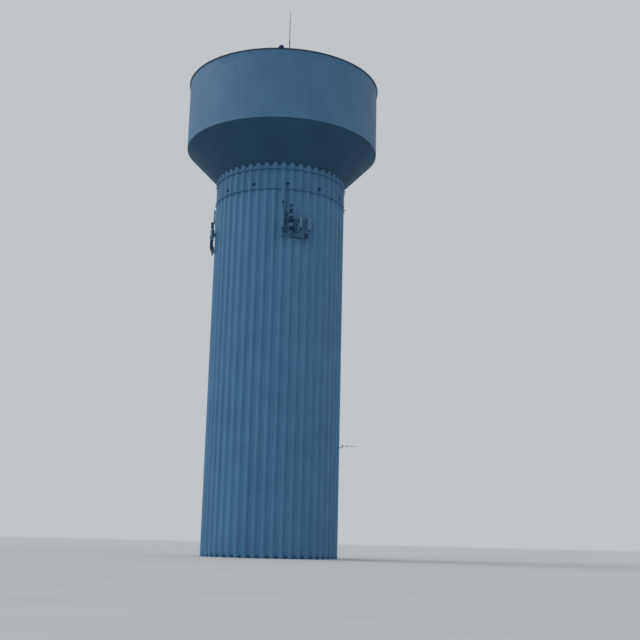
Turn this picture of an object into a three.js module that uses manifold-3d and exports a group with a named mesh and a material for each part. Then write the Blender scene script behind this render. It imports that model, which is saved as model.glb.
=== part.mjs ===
// Fluted-column water tower, a half-size model.
// Every size below is that of the real tower, in millimetres. The finished group is scaled by one half.
// +Z is up, the origin is the centre of the base on the ground, and the front of the tower faces -Y.
// An angle round the tower is counted in degrees from the front, turning towards +X.

import * as THREE from 'three';
import { mergeVertices } from 'three/addons/utils/BufferGeometryUtils.js';
import Module from 'manifold-3d';

const MODEL_SCALE = 0.5;

// Clearance between pieces that touch on the real tower: 0.3 mm on the model.
const GAP = 0.3 / MODEL_SCALE;

// Column: a corrugated steel wall of upright flutes.
const FLUTES = 48;
const FLUTE_PITCH = 360 / FLUTES;
const FIRST_CREST = 2.06;
const CREST_RADIUS = 7223;
const FLUTE_DEPTH = 250;
const FLUTE_SQUARENESS = 0.8;
const FLUTE_SAMPLES = [0, 50 / 360, 130 / 360, 0.5, 230 / 360, 310 / 360];
const SHAFT_PLATE = 10;
const COURSE_PLATE = 16;
const LOWER_SEAM = 38440;
const UPPER_SEAM = 40680;
const SEAM_LAP = 60;

// Base flange under the column wall. Its inner edge is flush with the inside of the valleys.
const FLANGE_INNER = 6963;
const FLANGE_OUTER = 7300;
const FLANGE_THICKNESS = 30;

// Round vent stubs, one in every fourth valley of the upper course.
const VENT_HEIGHT = 39080;
const VENT_DIAMETER = 280;
const VENT_STANDS_PROUD = 220;
const FLUTES_PER_VENT = 4;

// Tank: a cone that widens from the column, an upright shell and a shallow domed roof.
const TANK_RADIUS = 10800;
const SHELL_BOTTOM = 45070;
const SHELL_TOP = 52868;
const SHELL_PLATE = 12;
const CONE_RISE_PER_RUN = 1.03;
const CONE_PLATE = 16;
const CONE_INNER_RADIUS = 6800;
const ROOF_RISE = 1300;
const ROOF_PLATE = 10;
const ROOF_RINGS = 3;
const FLOOR_RISE = 620;
const FLOOR_PLATE = 12;
const RIM_WIDTH = 125;
const RIM_HEIGHT = 110;
const RIM_PLATE = 14;

// The round walls come in six plates each, every plate eight flutes or sixteen facets wide.
const PLATES = 6;
const FLUTES_PER_PLATE = FLUTES / PLATES;
const FACETS = 96;
const FACET_ANGLE = 360 / FACETS;
const FACETS_PER_PLATE = FACETS / PLATES;
const FIRST_PLATE_FLUTE = 4;

// Pieces on the roof. Each reaches down into the roof and is then trimmed to it.
const ROOF_TRIM = 250;
const VENT_CAP_PLACE = [-440, -10150];
const VENT_CAP_RADIUS = 295;
const VENT_CAP_HEIGHT = 570;
const MAST_PLACE = [420, -10150];
const MAST_FOOT = 170;
const MAST_TOP = 57480;
const MAST_JOINT = 54160;
const MAST_PIPE_RADIUS = 48;
const WHIP_RADIUS = 30;
const HATCH_PLACE = [-1500, 7900];
const HATCH_SIDE = 900;
const HATCH_HEIGHT = 320;

// Door at the foot of the column, at the back, centred on a crest.
const DOOR_FLUTE = 24;
const DOOR_WIDTH = 910;
const DOOR_HEIGHT = 2130;
const DOOR_SILL = 195;
const DOOR_LEAF = 45;
const FRAME_JAMB = 75;
const FRAME_INNER = 6840;
const FRAME_OUTER = 7300;
const LEAF_FRONT = 7285;

// Antenna sectors: the same group three times, each a whole number of flutes round from the front one.
// Only the front one is fed from a vent stub, the others through a fitting in the wall.
const SECTORS = [
  { name: 'front', flutes: 0, fedFromVent: true },
  { name: 'right', flutes: 17, fedFromVent: false },
  { name: 'left', flutes: -13, fedFromVent: false },
];
const SECTOR_CENTRE = 12.9;
const SECTOR_ARM_FLUTES = [1, 2];
const RAIL_HEIGHTS = [33100, 35000];
const RAIL_LENGTH = 3300;
const RAIL_RADIUS = 44;
const RAIL_OUT = 150;
const POST_RADIUS = 36;
const POST_OUT = RAIL_OUT + 76;
const PANEL_DEPTH = 160;
const PANEL_OUT = RAIL_OUT + 180;
const PANELS = [
  { name: 'left', x: -1460, post: -1110, width: 270, bottom: 33880, height: 1340 },
  { name: 'middle', x: 550, post: 550, width: 290, bottom: 34030, height: 1350 },
  { name: 'right', x: 1480, post: 1200, width: 270, bottom: 33920, height: 1380 },
];
const POST_BELOW_RAIL = 140;
const POST_ABOVE_PANEL = 380;
const CLAMP_SHARES = [0.08, 0.92];
const CLAMP_PAST_POST = 50;
const RADIO_POST_X = -525;
const RADIO_POST_TOP = 36720;
const RADIOS = [
  { bottom: 33880, height: 680, width: 380, depth: 230 },
  { bottom: 34700, height: 340, width: 480, depth: 260 },
  { bottom: 35180, height: 520, width: 320, depth: 220 },
  { bottom: 35960, height: 600, width: 290, depth: 210 },
];
const UPPER_PANEL = { flute: 0, width: 210, depth: 120, bottom: 36800, height: 1620, out: 210, pipeOut: 115 };

// Cables of a sector. The feeder bundle drops down a valley in a conduit and comes out to the left post.
// A second bundle hangs beside the radio units, and loops join both to a junction box.
const FEEDER_FLUTE = 0.5;
const FEEDER_LEAVES_WALL = 35950;
const FEEDER_OFF_VALLEY = 5;
const FITTING = { bottom: 37560, height: 180, width: 100, out: 93 };
const BUNDLE_RADIUS = 42;
const JUMPER_RADIUS = 20;
const LOOP_RADIUS = 26;
const LEFT_BUNDLE = { top: 35120, bottom: 33480 };
const MIDDLE_BUNDLE = { x: -160, top: 34980, bottom: 33330 };
const JUNCTION_BOX = { x: 1190, width: 320, depth: 200, bottom: 32970, height: 550 };

// Small aerial on an arm at the right-hand side.
const YAGI_FLUTE = 12;
const YAGI_ARM_HEIGHT = 11762;
const YAGI_BOOM_HEIGHT = 11960;
const YAGI_STUB_TOP = 12090;
const YAGI_STUB_RADIUS_OUT = 7600;
const YAGI_BOOM_END = 9120;
const YAGI_ELEMENTS = [430, 410, 360, 345, 330];

const wasm = await Module();
wasm.setup();

const radians = (angle) => angle * Math.PI / 180;
const crestAngle = (flute) => FIRST_CREST + flute * FLUTE_PITCH;

// Turns a closed geometry into a solid for joining and cutting.
function toSolid(geometry) {
  const bare = geometry.clone();
  bare.deleteAttribute('normal');
  bare.deleteAttribute('uv');
  const merged = mergeVertices(bare, 0.001);
  const mesh = new wasm.Mesh({
    numProp: 3,
    vertProperties: new Float32Array(merged.attributes.position.array),
    triVerts: new Uint32Array(merged.index.array),
  });
  return new wasm.Manifold(mesh);
}

// Turns a solid back into a geometry.
function toGeometry(solid) {
  const mesh = solid.getMesh();
  const geometry = new THREE.BufferGeometry();
  geometry.setAttribute('position', new THREE.BufferAttribute(mesh.vertProperties, 3));
  geometry.setIndex(new THREE.BufferAttribute(mesh.triVerts, 1));
  geometry.computeVertexNormals();
  return geometry;
}

// Joins overlapping geometries into one body.
function join(geometries) {
  return toGeometry(geometries.map(toSolid).reduce((whole, piece) => whole.add(piece)));
}

// Cuts one geometry out of another.
function cut(geometry, tool) {
  return toGeometry(toSolid(geometry).subtract(toSolid(tool)));
}

// A box given by its lowest and highest corners.
function box(low, high) {
  const size = high.map((value, i) => value - low[i]);
  const geometry = new THREE.BoxGeometry(...size);
  geometry.translate(...low.map((value, i) => value + size[i] / 2));
  return geometry;
}

// A straight round bar between two points.
function bar(from, to, radius, sides = 8) {
  const start = new THREE.Vector3(...from);
  const run = new THREE.Vector3(...to).sub(start);
  const geometry = new THREE.CylinderGeometry(radius, radius, run.length(), sides);
  const turn = new THREE.Quaternion().setFromUnitVectors(new THREE.Vector3(0, 1, 0), run.clone().normalize());
  geometry.applyQuaternion(turn);
  const middle = start.addScaledVector(run, 0.5);
  geometry.translate(middle.x, middle.y, middle.z);
  return geometry;
}

// A round cable on a smooth line through a row of points, with flat ends.
function cable(points, radius, steps = 2 * points.length, sides = 5) {
  const curve = new THREE.CatmullRomCurve3(points.map((point) => new THREE.Vector3(...point)));
  const { normals, binormals } = curve.computeFrenetFrames(steps);
  const positions = [];
  const index = [];
  for (let i = 0; i <= steps; i += 1) {
    const centre = curve.getPointAt(i / steps);
    for (let s = 0; s < sides; s += 1) {
      const turn = 2 * Math.PI * s / sides;
      const point = centre.clone().addScaledVector(normals[i], radius * Math.cos(turn));
      point.addScaledVector(binormals[i], radius * Math.sin(turn));
      positions.push(...point.toArray());
      if (i < steps) {
        const a = i * sides + s;
        const b = i * sides + (s + 1) % sides;
        index.push(a, b, b + sides, a, b + sides, a + sides);
      }
    }
  }
  const end = steps * sides;
  for (let s = 1; s < sides - 1; s += 1) {
    index.push(0, s + 1, s, end, end + s, end + s + 1);
  }
  const geometry = new THREE.BufferGeometry();
  geometry.setAttribute('position', new THREE.Float32BufferAttribute(positions, 3));
  geometry.setIndex(index);
  geometry.computeVertexNormals();
  return geometry;
}

// A closed wall: the same polygon of points at every station, joined along the way, with flat ends.
// Stations follow rising angles, and each lists its points up the outer side and down the inner one.
function wallThrough(stations, closed = false) {
  const corners = stations[0].length;
  const positions = stations.flat().flat();
  const index = [];
  const last = closed ? stations.length : stations.length - 1;
  for (let s = 0; s < last; s += 1) {
    const here = s * corners;
    const next = ((s + 1) % stations.length) * corners;
    for (let c = 0; c < corners; c += 1) {
      const d = (c + 1) % corners;
      index.push(here + c, next + c, next + d, here + c, next + d, here + d);
    }
  }
  if (!closed) {
    const flat = stations[0].map(([x, y, z]) => new THREE.Vector2(Math.hypot(x, y), z));
    const end = (stations.length - 1) * corners;
    for (const [a, b, c] of THREE.ShapeUtils.triangulateShape(flat, [])) {
      index.push(a, b, c, end + a, end + c, end + b);
    }
  }
  const geometry = new THREE.BufferGeometry();
  geometry.setAttribute('position', new THREE.Float32BufferAttribute(positions, 3));
  geometry.setIndex(index);
  geometry.computeVertexNormals();
  return geometry;
}

// Angles of the stations of one plate, with half a gap left free at each end.
function plateAngles(angles, radius) {
  const spare = THREE.MathUtils.radToDeg(GAP / 2 / radius);
  const inset = [...angles];
  inset[0] += spare;
  inset[inset.length - 1] -= spare;
  return inset;
}

// Start angle of a plate. Plates meet on crests, away from the vents and the door.
const plateStart = (plate) => crestAngle(FIRST_PLATE_FLUTE + plate * FLUTES_PER_PLATE);

// Point at a radius, angle and height.
function polar(radius, angle, z) {
  const a = radians(angle);
  return [radius * Math.sin(a), -radius * Math.cos(a), z];
}

// One plate of a smooth round wall, from its section as [radius, z] points.
function roundPlate(section, plate) {
  const start = plateStart(plate);
  const facets = Array.from({ length: FACETS_PER_PLATE + 1 }, (_, i) => start + i * FACET_ANGLE);
  const angles = plateAngles(facets, TANK_RADIUS);
  const stations = angles.map((angle) => section.map(([r, z]) => polar(r, angle, z)));
  return wallThrough(stations);
}

// Radius of the fluted face: a cosine wave pressed towards a square wave by the hyperbolic tangent.
function fluteRadius(angle) {
  const wave = Math.cos(radians((angle - FIRST_CREST) * FLUTES));
  const pressed = Math.tanh(FLUTE_SQUARENESS * wave) / Math.tanh(FLUTE_SQUARENESS);
  return CREST_RADIUS - FLUTE_DEPTH / 2 * (1 - pressed);
}

// Point on a surface that runs at a fixed distance outside the fluted face.
function flutePoint(angle, outside) {
  const step = 0.01;
  const before = polar(fluteRadius(angle - step), angle - step, 0);
  const after = polar(fluteRadius(angle + step), angle + step, 0);
  const along = new THREE.Vector2(after[0] - before[0], after[1] - before[1]).normalize();
  const [x, y] = polar(fluteRadius(angle), angle, 0);
  return [x + along.y * outside, y - along.x * outside];
}

// Angles of the stations that one fluted plate needs.
function fluteStations(plate) {
  const angles = [];
  for (let flute = 0; flute < FLUTES_PER_PLATE; flute += 1) {
    angles.push(...FLUTE_SAMPLES.map((turn) => plateStart(plate) + (flute + turn) * FLUTE_PITCH));
  }
  angles.push(plateStart(plate + 1));
  return plateAngles(angles, CREST_RADIUS);
}

// Height of the cone's faceted underside above a point.
function coneUnderside(x, y) {
  const angle = THREE.MathUtils.radToDeg(Math.atan2(x, -y)) - FIRST_CREST;
  const fromFacetMiddle = THREE.MathUtils.euclideanModulo(angle, FACET_ANGLE) - FACET_ANGLE / 2;
  const ring = Math.hypot(x, y) * Math.cos(radians(fromFacetMiddle)) / Math.cos(radians(FACET_ANGLE / 2));
  return SHELL_BOTTOM - (TANK_RADIUS - ring) * CONE_RISE_PER_RUN;
}

// One plate of the column from the base flange to the lower seam.
function shaftPlate(plate) {
  const foot = FLANGE_THICKNESS + GAP;
  const top = LOWER_SEAM + SEAM_LAP;
  const stations = fluteStations(plate).map((angle) => {
    const outer = flutePoint(angle, 0);
    const inner = flutePoint(angle, -SHAFT_PLATE);
    return [[...outer, foot], [...outer, top], [...inner, top], [...inner, foot]];
  });
  return wallThrough(stations);
}

// One plate of the upper course. Its lower edge laps over the shaft, it steps out once more
// at the upper seam, and its top edge is cut to the cone, which gives the scalloped line.
function coursePlate(plate) {
  const seat = GAP * Math.hypot(1, CONE_RISE_PER_RUN);
  const stations = fluteStations(plate).map((angle) => {
    const inner = flutePoint(angle, GAP);
    const middle = flutePoint(angle, COURSE_PLATE);
    const outer = flutePoint(angle, 2 * COURSE_PLATE);
    return [
      [...middle, LOWER_SEAM],
      [...middle, UPPER_SEAM],
      [...outer, UPPER_SEAM],
      [...outer, coneUnderside(...outer) - seat],
      [...inner, coneUnderside(...inner) - seat],
      [...inner, LOWER_SEAM],
    ];
  });
  const covers = [];
  for (let flute = 0; flute < FLUTES_PER_PLATE; flute += FLUTES_PER_VENT) {
    covers.push(ventCover(FIRST_PLATE_FLUTE + plate * FLUTES_PER_PLATE + flute));
  }
  return join([wallThrough(stations), ...covers]);
}

// Round vent cover in the valley that follows a crest.
function ventCover(flute) {
  const valley = CREST_RADIUS - FLUTE_DEPTH + COURSE_PLATE;
  const cover = bar(
    [0, -valley + COURSE_PLATE / 2, VENT_HEIGHT],
    [0, -valley - VENT_STANDS_PROUD, VENT_HEIGHT],
    VENT_DIAMETER / 2,
    12,
  );
  cover.rotateZ(radians(crestAngle(flute + 0.5)));
  return cover;
}

// One plate of the cone under the tank. The section is an upright-ended slanting strip.
function conePlate(plate) {
  const depth = CONE_PLATE * Math.hypot(1, CONE_RISE_PER_RUN);
  const innerZ = SHELL_BOTTOM - (TANK_RADIUS - CONE_INNER_RADIUS) * CONE_RISE_PER_RUN;
  return roundPlate([
    [CONE_INNER_RADIUS, innerZ],
    [TANK_RADIUS, SHELL_BOTTOM],
    [TANK_RADIUS - depth / CONE_RISE_PER_RUN, SHELL_BOTTOM],
    [CONE_INNER_RADIUS, innerZ + depth],
  ], plate);
}

// One upright plate of the tank's shell.
function shellPlate(plate) {
  return roundPlate([
    [TANK_RADIUS, SHELL_BOTTOM + GAP],
    [TANK_RADIUS, SHELL_TOP],
    [TANK_RADIUS - SHELL_PLATE, SHELL_TOP],
    [TANK_RADIUS - SHELL_PLATE, SHELL_BOTTOM + GAP],
  ], plate);
}

// Angle ring under the roof's edge: an upright leg outside the shell and a level leg that overhangs.
function rimRing() {
  const inner = TANK_RADIUS + GAP;
  return fullRing([
    [inner, SHELL_TOP - RIM_HEIGHT],
    [inner + RIM_PLATE, SHELL_TOP - RIM_HEIGHT],
    [inner + RIM_PLATE, SHELL_TOP - RIM_PLATE],
    [TANK_RADIUS + RIM_WIDTH, SHELL_TOP - RIM_PLATE],
    [TANK_RADIUS + RIM_WIDTH, SHELL_TOP],
    [inner, SHELL_TOP],
  ]);
}

// A ring all the way round, from its section as [radius, z] points.
function fullRing(section) {
  const angles = Array.from({ length: FACETS }, (_, i) => FIRST_CREST + i * FACET_ANGLE);
  return wallThrough(angles.map((angle) => section.map(([r, z]) => polar(r, angle, z))), true);
}

// A turned solid about +Z, from its profile as [radius, z] points that start and end on the axis.
function turned(profile, sides) {
  const points = profile.map(([r, z]) => new THREE.Vector2(r, z));
  const geometry = new THREE.LatheGeometry(points, sides, radians(FIRST_CREST));
  geometry.rotateX(Math.PI / 2);
  return geometry;
}

// A shallow dome of even height, from its rim radius, rim height, rise and plate.
function dome(radius, rimZ, rise, plate, sides) {
  const shares = Array.from({ length: ROOF_RINGS + 1 }, (_, i) => i / ROOF_RINGS);
  const under = shares.map((share) => [radius * share, rimZ + rise * (1 - share * share)]);
  const over = under.map(([r, z]) => [r, z + plate]).reverse();
  return turned([...under, ...over], sides);
}

const finish = (color, roughness, metalness) => new THREE.MeshStandardMaterial({ color, roughness, metalness });
const paint = (color) => finish(color, 0.5, 0.1);
const columnPaint = paint('#45779f');
const shellPaint = paint('#45759b');
const conePaint = paint('#22475f');
const rimPaint = paint('#33495c');
const roofPaint = paint('#5b7c96');
const galvanised = finish('#42596a', 0.6, 0.8);
const radome = finish('#5b7c93', 0.6, 0);
const cableBlack = finish('#142a3b', 0.7, 0);
const radioGrey = finish('#56707f', 0.6, 0);

const tower = new THREE.Group();

// Adds one named piece to a group.
function add(group, name, geometry, material) {
  const mesh = new THREE.Mesh(geometry, material);
  mesh.name = name;
  group.add(mesh);
  return mesh;
}

add(tower, 'base_flange', fullRing([
  [FLANGE_INNER, 0],
  [FLANGE_OUTER, 0],
  [FLANGE_OUTER, FLANGE_THICKNESS],
  [FLANGE_INNER, FLANGE_THICKNESS],
]), columnPaint);
for (let plate = 0; plate < PLATES; plate += 1) {
  const number = plate + 1;
  let shaft = shaftPlate(plate);
  if (plate === Math.floor((DOOR_FLUTE - FIRST_PLATE_FLUTE) / FLUTES_PER_PLATE)) {
    shaft = cut(shaft, doorway());
  }
  add(tower, `column_plate_${number}`, shaft, columnPaint);
  add(tower, `upper_course_plate_${number}`, coursePlate(plate), columnPaint);
  add(tower, `cone_plate_${number}`, conePlate(plate), conePaint);
  add(tower, `tank_shell_plate_${number}`, shellPlate(plate), shellPaint);
}

const floorRim = SHELL_BOTTOM - (TANK_RADIUS - CONE_INNER_RADIUS) * CONE_RISE_PER_RUN;
add(tower, 'tank_floor', dome(CONE_INNER_RADIUS - GAP, floorRim, FLOOR_RISE, FLOOR_PLATE, FLUTES), roofPaint);
add(tower, 'tank_roof', dome(TANK_RADIUS, SHELL_TOP + GAP, ROOF_RISE, ROOF_PLATE, FACETS), roofPaint);
add(tower, 'roof_edge_ring', rimRing(), rimPaint);

// The doorway cut through the column wall, turned to the back of the tower.
function doorway() {
  const half = DOOR_WIDTH / 2 + FRAME_JAMB + GAP;
  const hole = box(
    [-half, -FRAME_OUTER - 100, DOOR_SILL - FRAME_JAMB - GAP],
    [half, -FRAME_INNER + 100, DOOR_SILL + DOOR_HEIGHT + FRAME_JAMB + GAP],
  );
  hole.rotateZ(radians(crestAngle(DOOR_FLUTE)));
  return hole;
}

// A group whose -Y side faces out at an angle round the tower.
function facing(angle) {
  const group = new THREE.Group();
  group.rotation.z = radians(angle);
  tower.add(group);
  return group;
}

const doorSide = facing(crestAngle(DOOR_FLUTE));
const halfDoor = DOOR_WIDTH / 2;
const doorTop = DOOR_SILL + DOOR_HEIGHT;
const halfFrame = halfDoor + FRAME_JAMB;
add(doorSide, 'door_frame', cut(
  box([-halfFrame, -FRAME_OUTER, DOOR_SILL - FRAME_JAMB], [halfFrame, -FRAME_INNER, doorTop + FRAME_JAMB]),
  box([-halfDoor, -FRAME_OUTER - 1, DOOR_SILL], [halfDoor, -FRAME_INNER + 1, doorTop]),
), rimPaint);
add(doorSide, 'door_leaf', box(
  [-halfDoor + GAP, -LEAF_FRONT, DOOR_SILL + GAP],
  [halfDoor - GAP, -LEAF_FRONT + DOOR_LEAF, doorTop - GAP],
), rimPaint);

// Height of the domed roof above a place.
function roofHeight([x, y]) {
  const share = Math.hypot(x, y) / TANK_RADIUS;
  return SHELL_TOP + ROOF_RISE * (1 - share * share);
}

// Everything under the roof's upper face, with the gap that a piece standing on it keeps.
const underRoofHeight = 2 * ROOF_RISE + ROOF_PLATE + 2 * GAP;
const underRoof = dome(TANK_RADIUS, SHELL_TOP - 2 * ROOF_RISE, ROOF_RISE, underRoofHeight, FACETS);

// Adds a piece that stands on the roof, with its foot trimmed to the roof's slope.
function addOnRoof(name, place, geometry, material) {
  geometry.translate(...place, roofHeight(place));
  return add(tower, name, cut(geometry, underRoof), material);
}

// Mushroom vent: a short throat under a domed cap.
const throat = VENT_CAP_RADIUS * 0.7;
const capRim = VENT_CAP_HEIGHT * 0.45;
addOnRoof('roof_vent', VENT_CAP_PLACE, turned([
  [0, -ROOF_TRIM],
  [throat, -ROOF_TRIM],
  [throat, capRim],
  [VENT_CAP_RADIUS, capRim],
  [VENT_CAP_RADIUS * 0.94, VENT_CAP_HEIGHT * 0.68],
  [VENT_CAP_RADIUS * 0.7, VENT_CAP_HEIGHT * 0.87],
  [VENT_CAP_RADIUS * 0.35, VENT_CAP_HEIGHT * 0.97],
  [0, VENT_CAP_HEIGHT],
], 20), rimPaint);

// Whip aerial on a mounting pipe with a foot plate.
const mastFloor = roofHeight(MAST_PLACE);
addOnRoof('whip_mast', MAST_PLACE, turned([
  [0, -ROOF_TRIM],
  [MAST_FOOT, -ROOF_TRIM],
  [MAST_FOOT, MAST_FOOT / 2],
  [MAST_PIPE_RADIUS, MAST_FOOT / 2],
  [MAST_PIPE_RADIUS, MAST_JOINT - mastFloor],
  [WHIP_RADIUS, MAST_JOINT - mastFloor],
  [WHIP_RADIUS * 0.7, MAST_TOP - mastFloor],
  [0, MAST_TOP - mastFloor],
], 12), galvanised);

// Square access hatch: a curb with a wider lid.
const halfHatch = HATCH_SIDE / 2;
const halfLid = halfHatch + 40;
addOnRoof('roof_hatch', HATCH_PLACE, join([
  box([-halfHatch, -halfHatch, -ROOF_TRIM], [halfHatch, halfHatch, HATCH_HEIGHT]),
  box([-halfLid, -halfLid, HATCH_HEIGHT - 60], [halfLid, halfLid, HATCH_HEIGHT + 20]),
]), roofPaint);

// A plate against a crest with an arm that reaches out from it, seen from in front of the crest.
function wallArm(z, reach, thickness, plateWidth, plateHeight) {
  const wall = -CREST_RADIUS - GAP;
  const half = thickness / 2;
  return [
    box([-plateWidth / 2, wall - 20, z - plateHeight / 2], [plateWidth / 2, wall, z + plateHeight / 2]),
    box([-half, -CREST_RADIUS - reach, z - half], [half, wall - 10, z + half]),
  ];
}

// Pipe frame of one sector: two level rails on arms from the column, with an upright post for each
// panel and one for the radio units, and a pair of clamps that reach out to each panel.
function sectorFrame() {
  const parts = [];
  const rail = -CREST_RADIUS - RAIL_OUT;
  const post = -CREST_RADIUS - POST_OUT;
  const lowest = RAIL_HEIGHTS[0] - POST_BELOW_RAIL;
  for (const z of RAIL_HEIGHTS) {
    parts.push(bar([-RAIL_LENGTH / 2, rail, z], [RAIL_LENGTH / 2, rail, z], RAIL_RADIUS));
    for (const flute of SECTOR_ARM_FLUTES) {
      for (const piece of wallArm(z, RAIL_OUT, 70, 200, 300)) {
        piece.rotateZ(radians(crestAngle(flute) - SECTOR_CENTRE));
        parts.push(piece);
      }
    }
  }
  for (const panel of PANELS) {
    const top = panel.bottom + panel.height;
    parts.push(bar([panel.post, post, lowest], [panel.post, post, top + POST_ABOVE_PANEL], POST_RADIUS));
    for (const z of CLAMP_SHARES.map((share) => panel.bottom + share * panel.height)) {
      const left = Math.min(panel.post, panel.x) - CLAMP_PAST_POST;
      const right = Math.max(panel.post, panel.x) + CLAMP_PAST_POST;
      parts.push(box([left, -CREST_RADIUS - PANEL_OUT, z - 40], [right, post + 20, z + 40]));
    }
  }
  parts.push(bar([RADIO_POST_X, post, lowest], [RADIO_POST_X, post, RADIO_POST_TOP], POST_RADIUS));
  return join(parts);
}

// One panel aerial: an upright box with its front corners bevelled.
function panelAerial(panel) {
  const half = panel.width / 2;
  const bevel = PANEL_DEPTH * 0.3;
  const outline = new THREE.Shape([
    new THREE.Vector2(-half, 0),
    new THREE.Vector2(half, 0),
    new THREE.Vector2(half, -PANEL_DEPTH + bevel),
    new THREE.Vector2(half - bevel, -PANEL_DEPTH),
    new THREE.Vector2(-half + bevel, -PANEL_DEPTH),
    new THREE.Vector2(-half, -PANEL_DEPTH + bevel),
  ]);
  const geometry = new THREE.ExtrudeGeometry(outline, { depth: panel.height, bevelEnabled: false });
  geometry.translate(panel.x, -CREST_RADIUS - PANEL_OUT - GAP, panel.bottom);
  return geometry;
}

// Radio units stacked on one upright rail in front of their post.
function radioStack() {
  const back = -CREST_RADIUS - POST_OUT - POST_RADIUS - GAP;
  const lowest = RADIOS[0].bottom;
  const highest = RADIOS.at(-1).bottom + RADIOS.at(-1).height;
  const strip = box([RADIO_POST_X - 40, back - 30, lowest - 60], [RADIO_POST_X + 40, back, highest + 60]);
  const units = RADIOS.map((unit) => box(
    [RADIO_POST_X - unit.width / 2, back - 20 - unit.depth, unit.bottom],
    [RADIO_POST_X + unit.width / 2, back - 20, unit.bottom + unit.height],
  ));
  return join([strip, ...units]);
}

// Slender aerial above the frame, on its own pipe and two wall arms.
function upperAerial() {
  const { width, depth, bottom, height, out, pipeOut } = UPPER_PANEL;
  const pipe = -CREST_RADIUS - pipeOut;
  const parts = [
    bar([0, pipe, bottom - 480], [0, pipe, bottom + height - 100], POST_RADIUS),
    box([-width / 2, -CREST_RADIUS - out - depth, bottom], [width / 2, -CREST_RADIUS - out, bottom + height]),
  ];
  for (const z of [bottom + 0.12 * height, bottom + 0.78 * height]) {
    parts.push(...wallArm(z, pipeOut, 60, 180, 200));
    parts.push(box([-45, -CREST_RADIUS - out - 20, z - 35], [45, pipe, z + 35]));
  }
  const aerial = join(parts);
  aerial.rotateZ(radians(crestAngle(UPPER_PANEL.flute) - SECTOR_CENTRE));
  return aerial;
}

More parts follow.
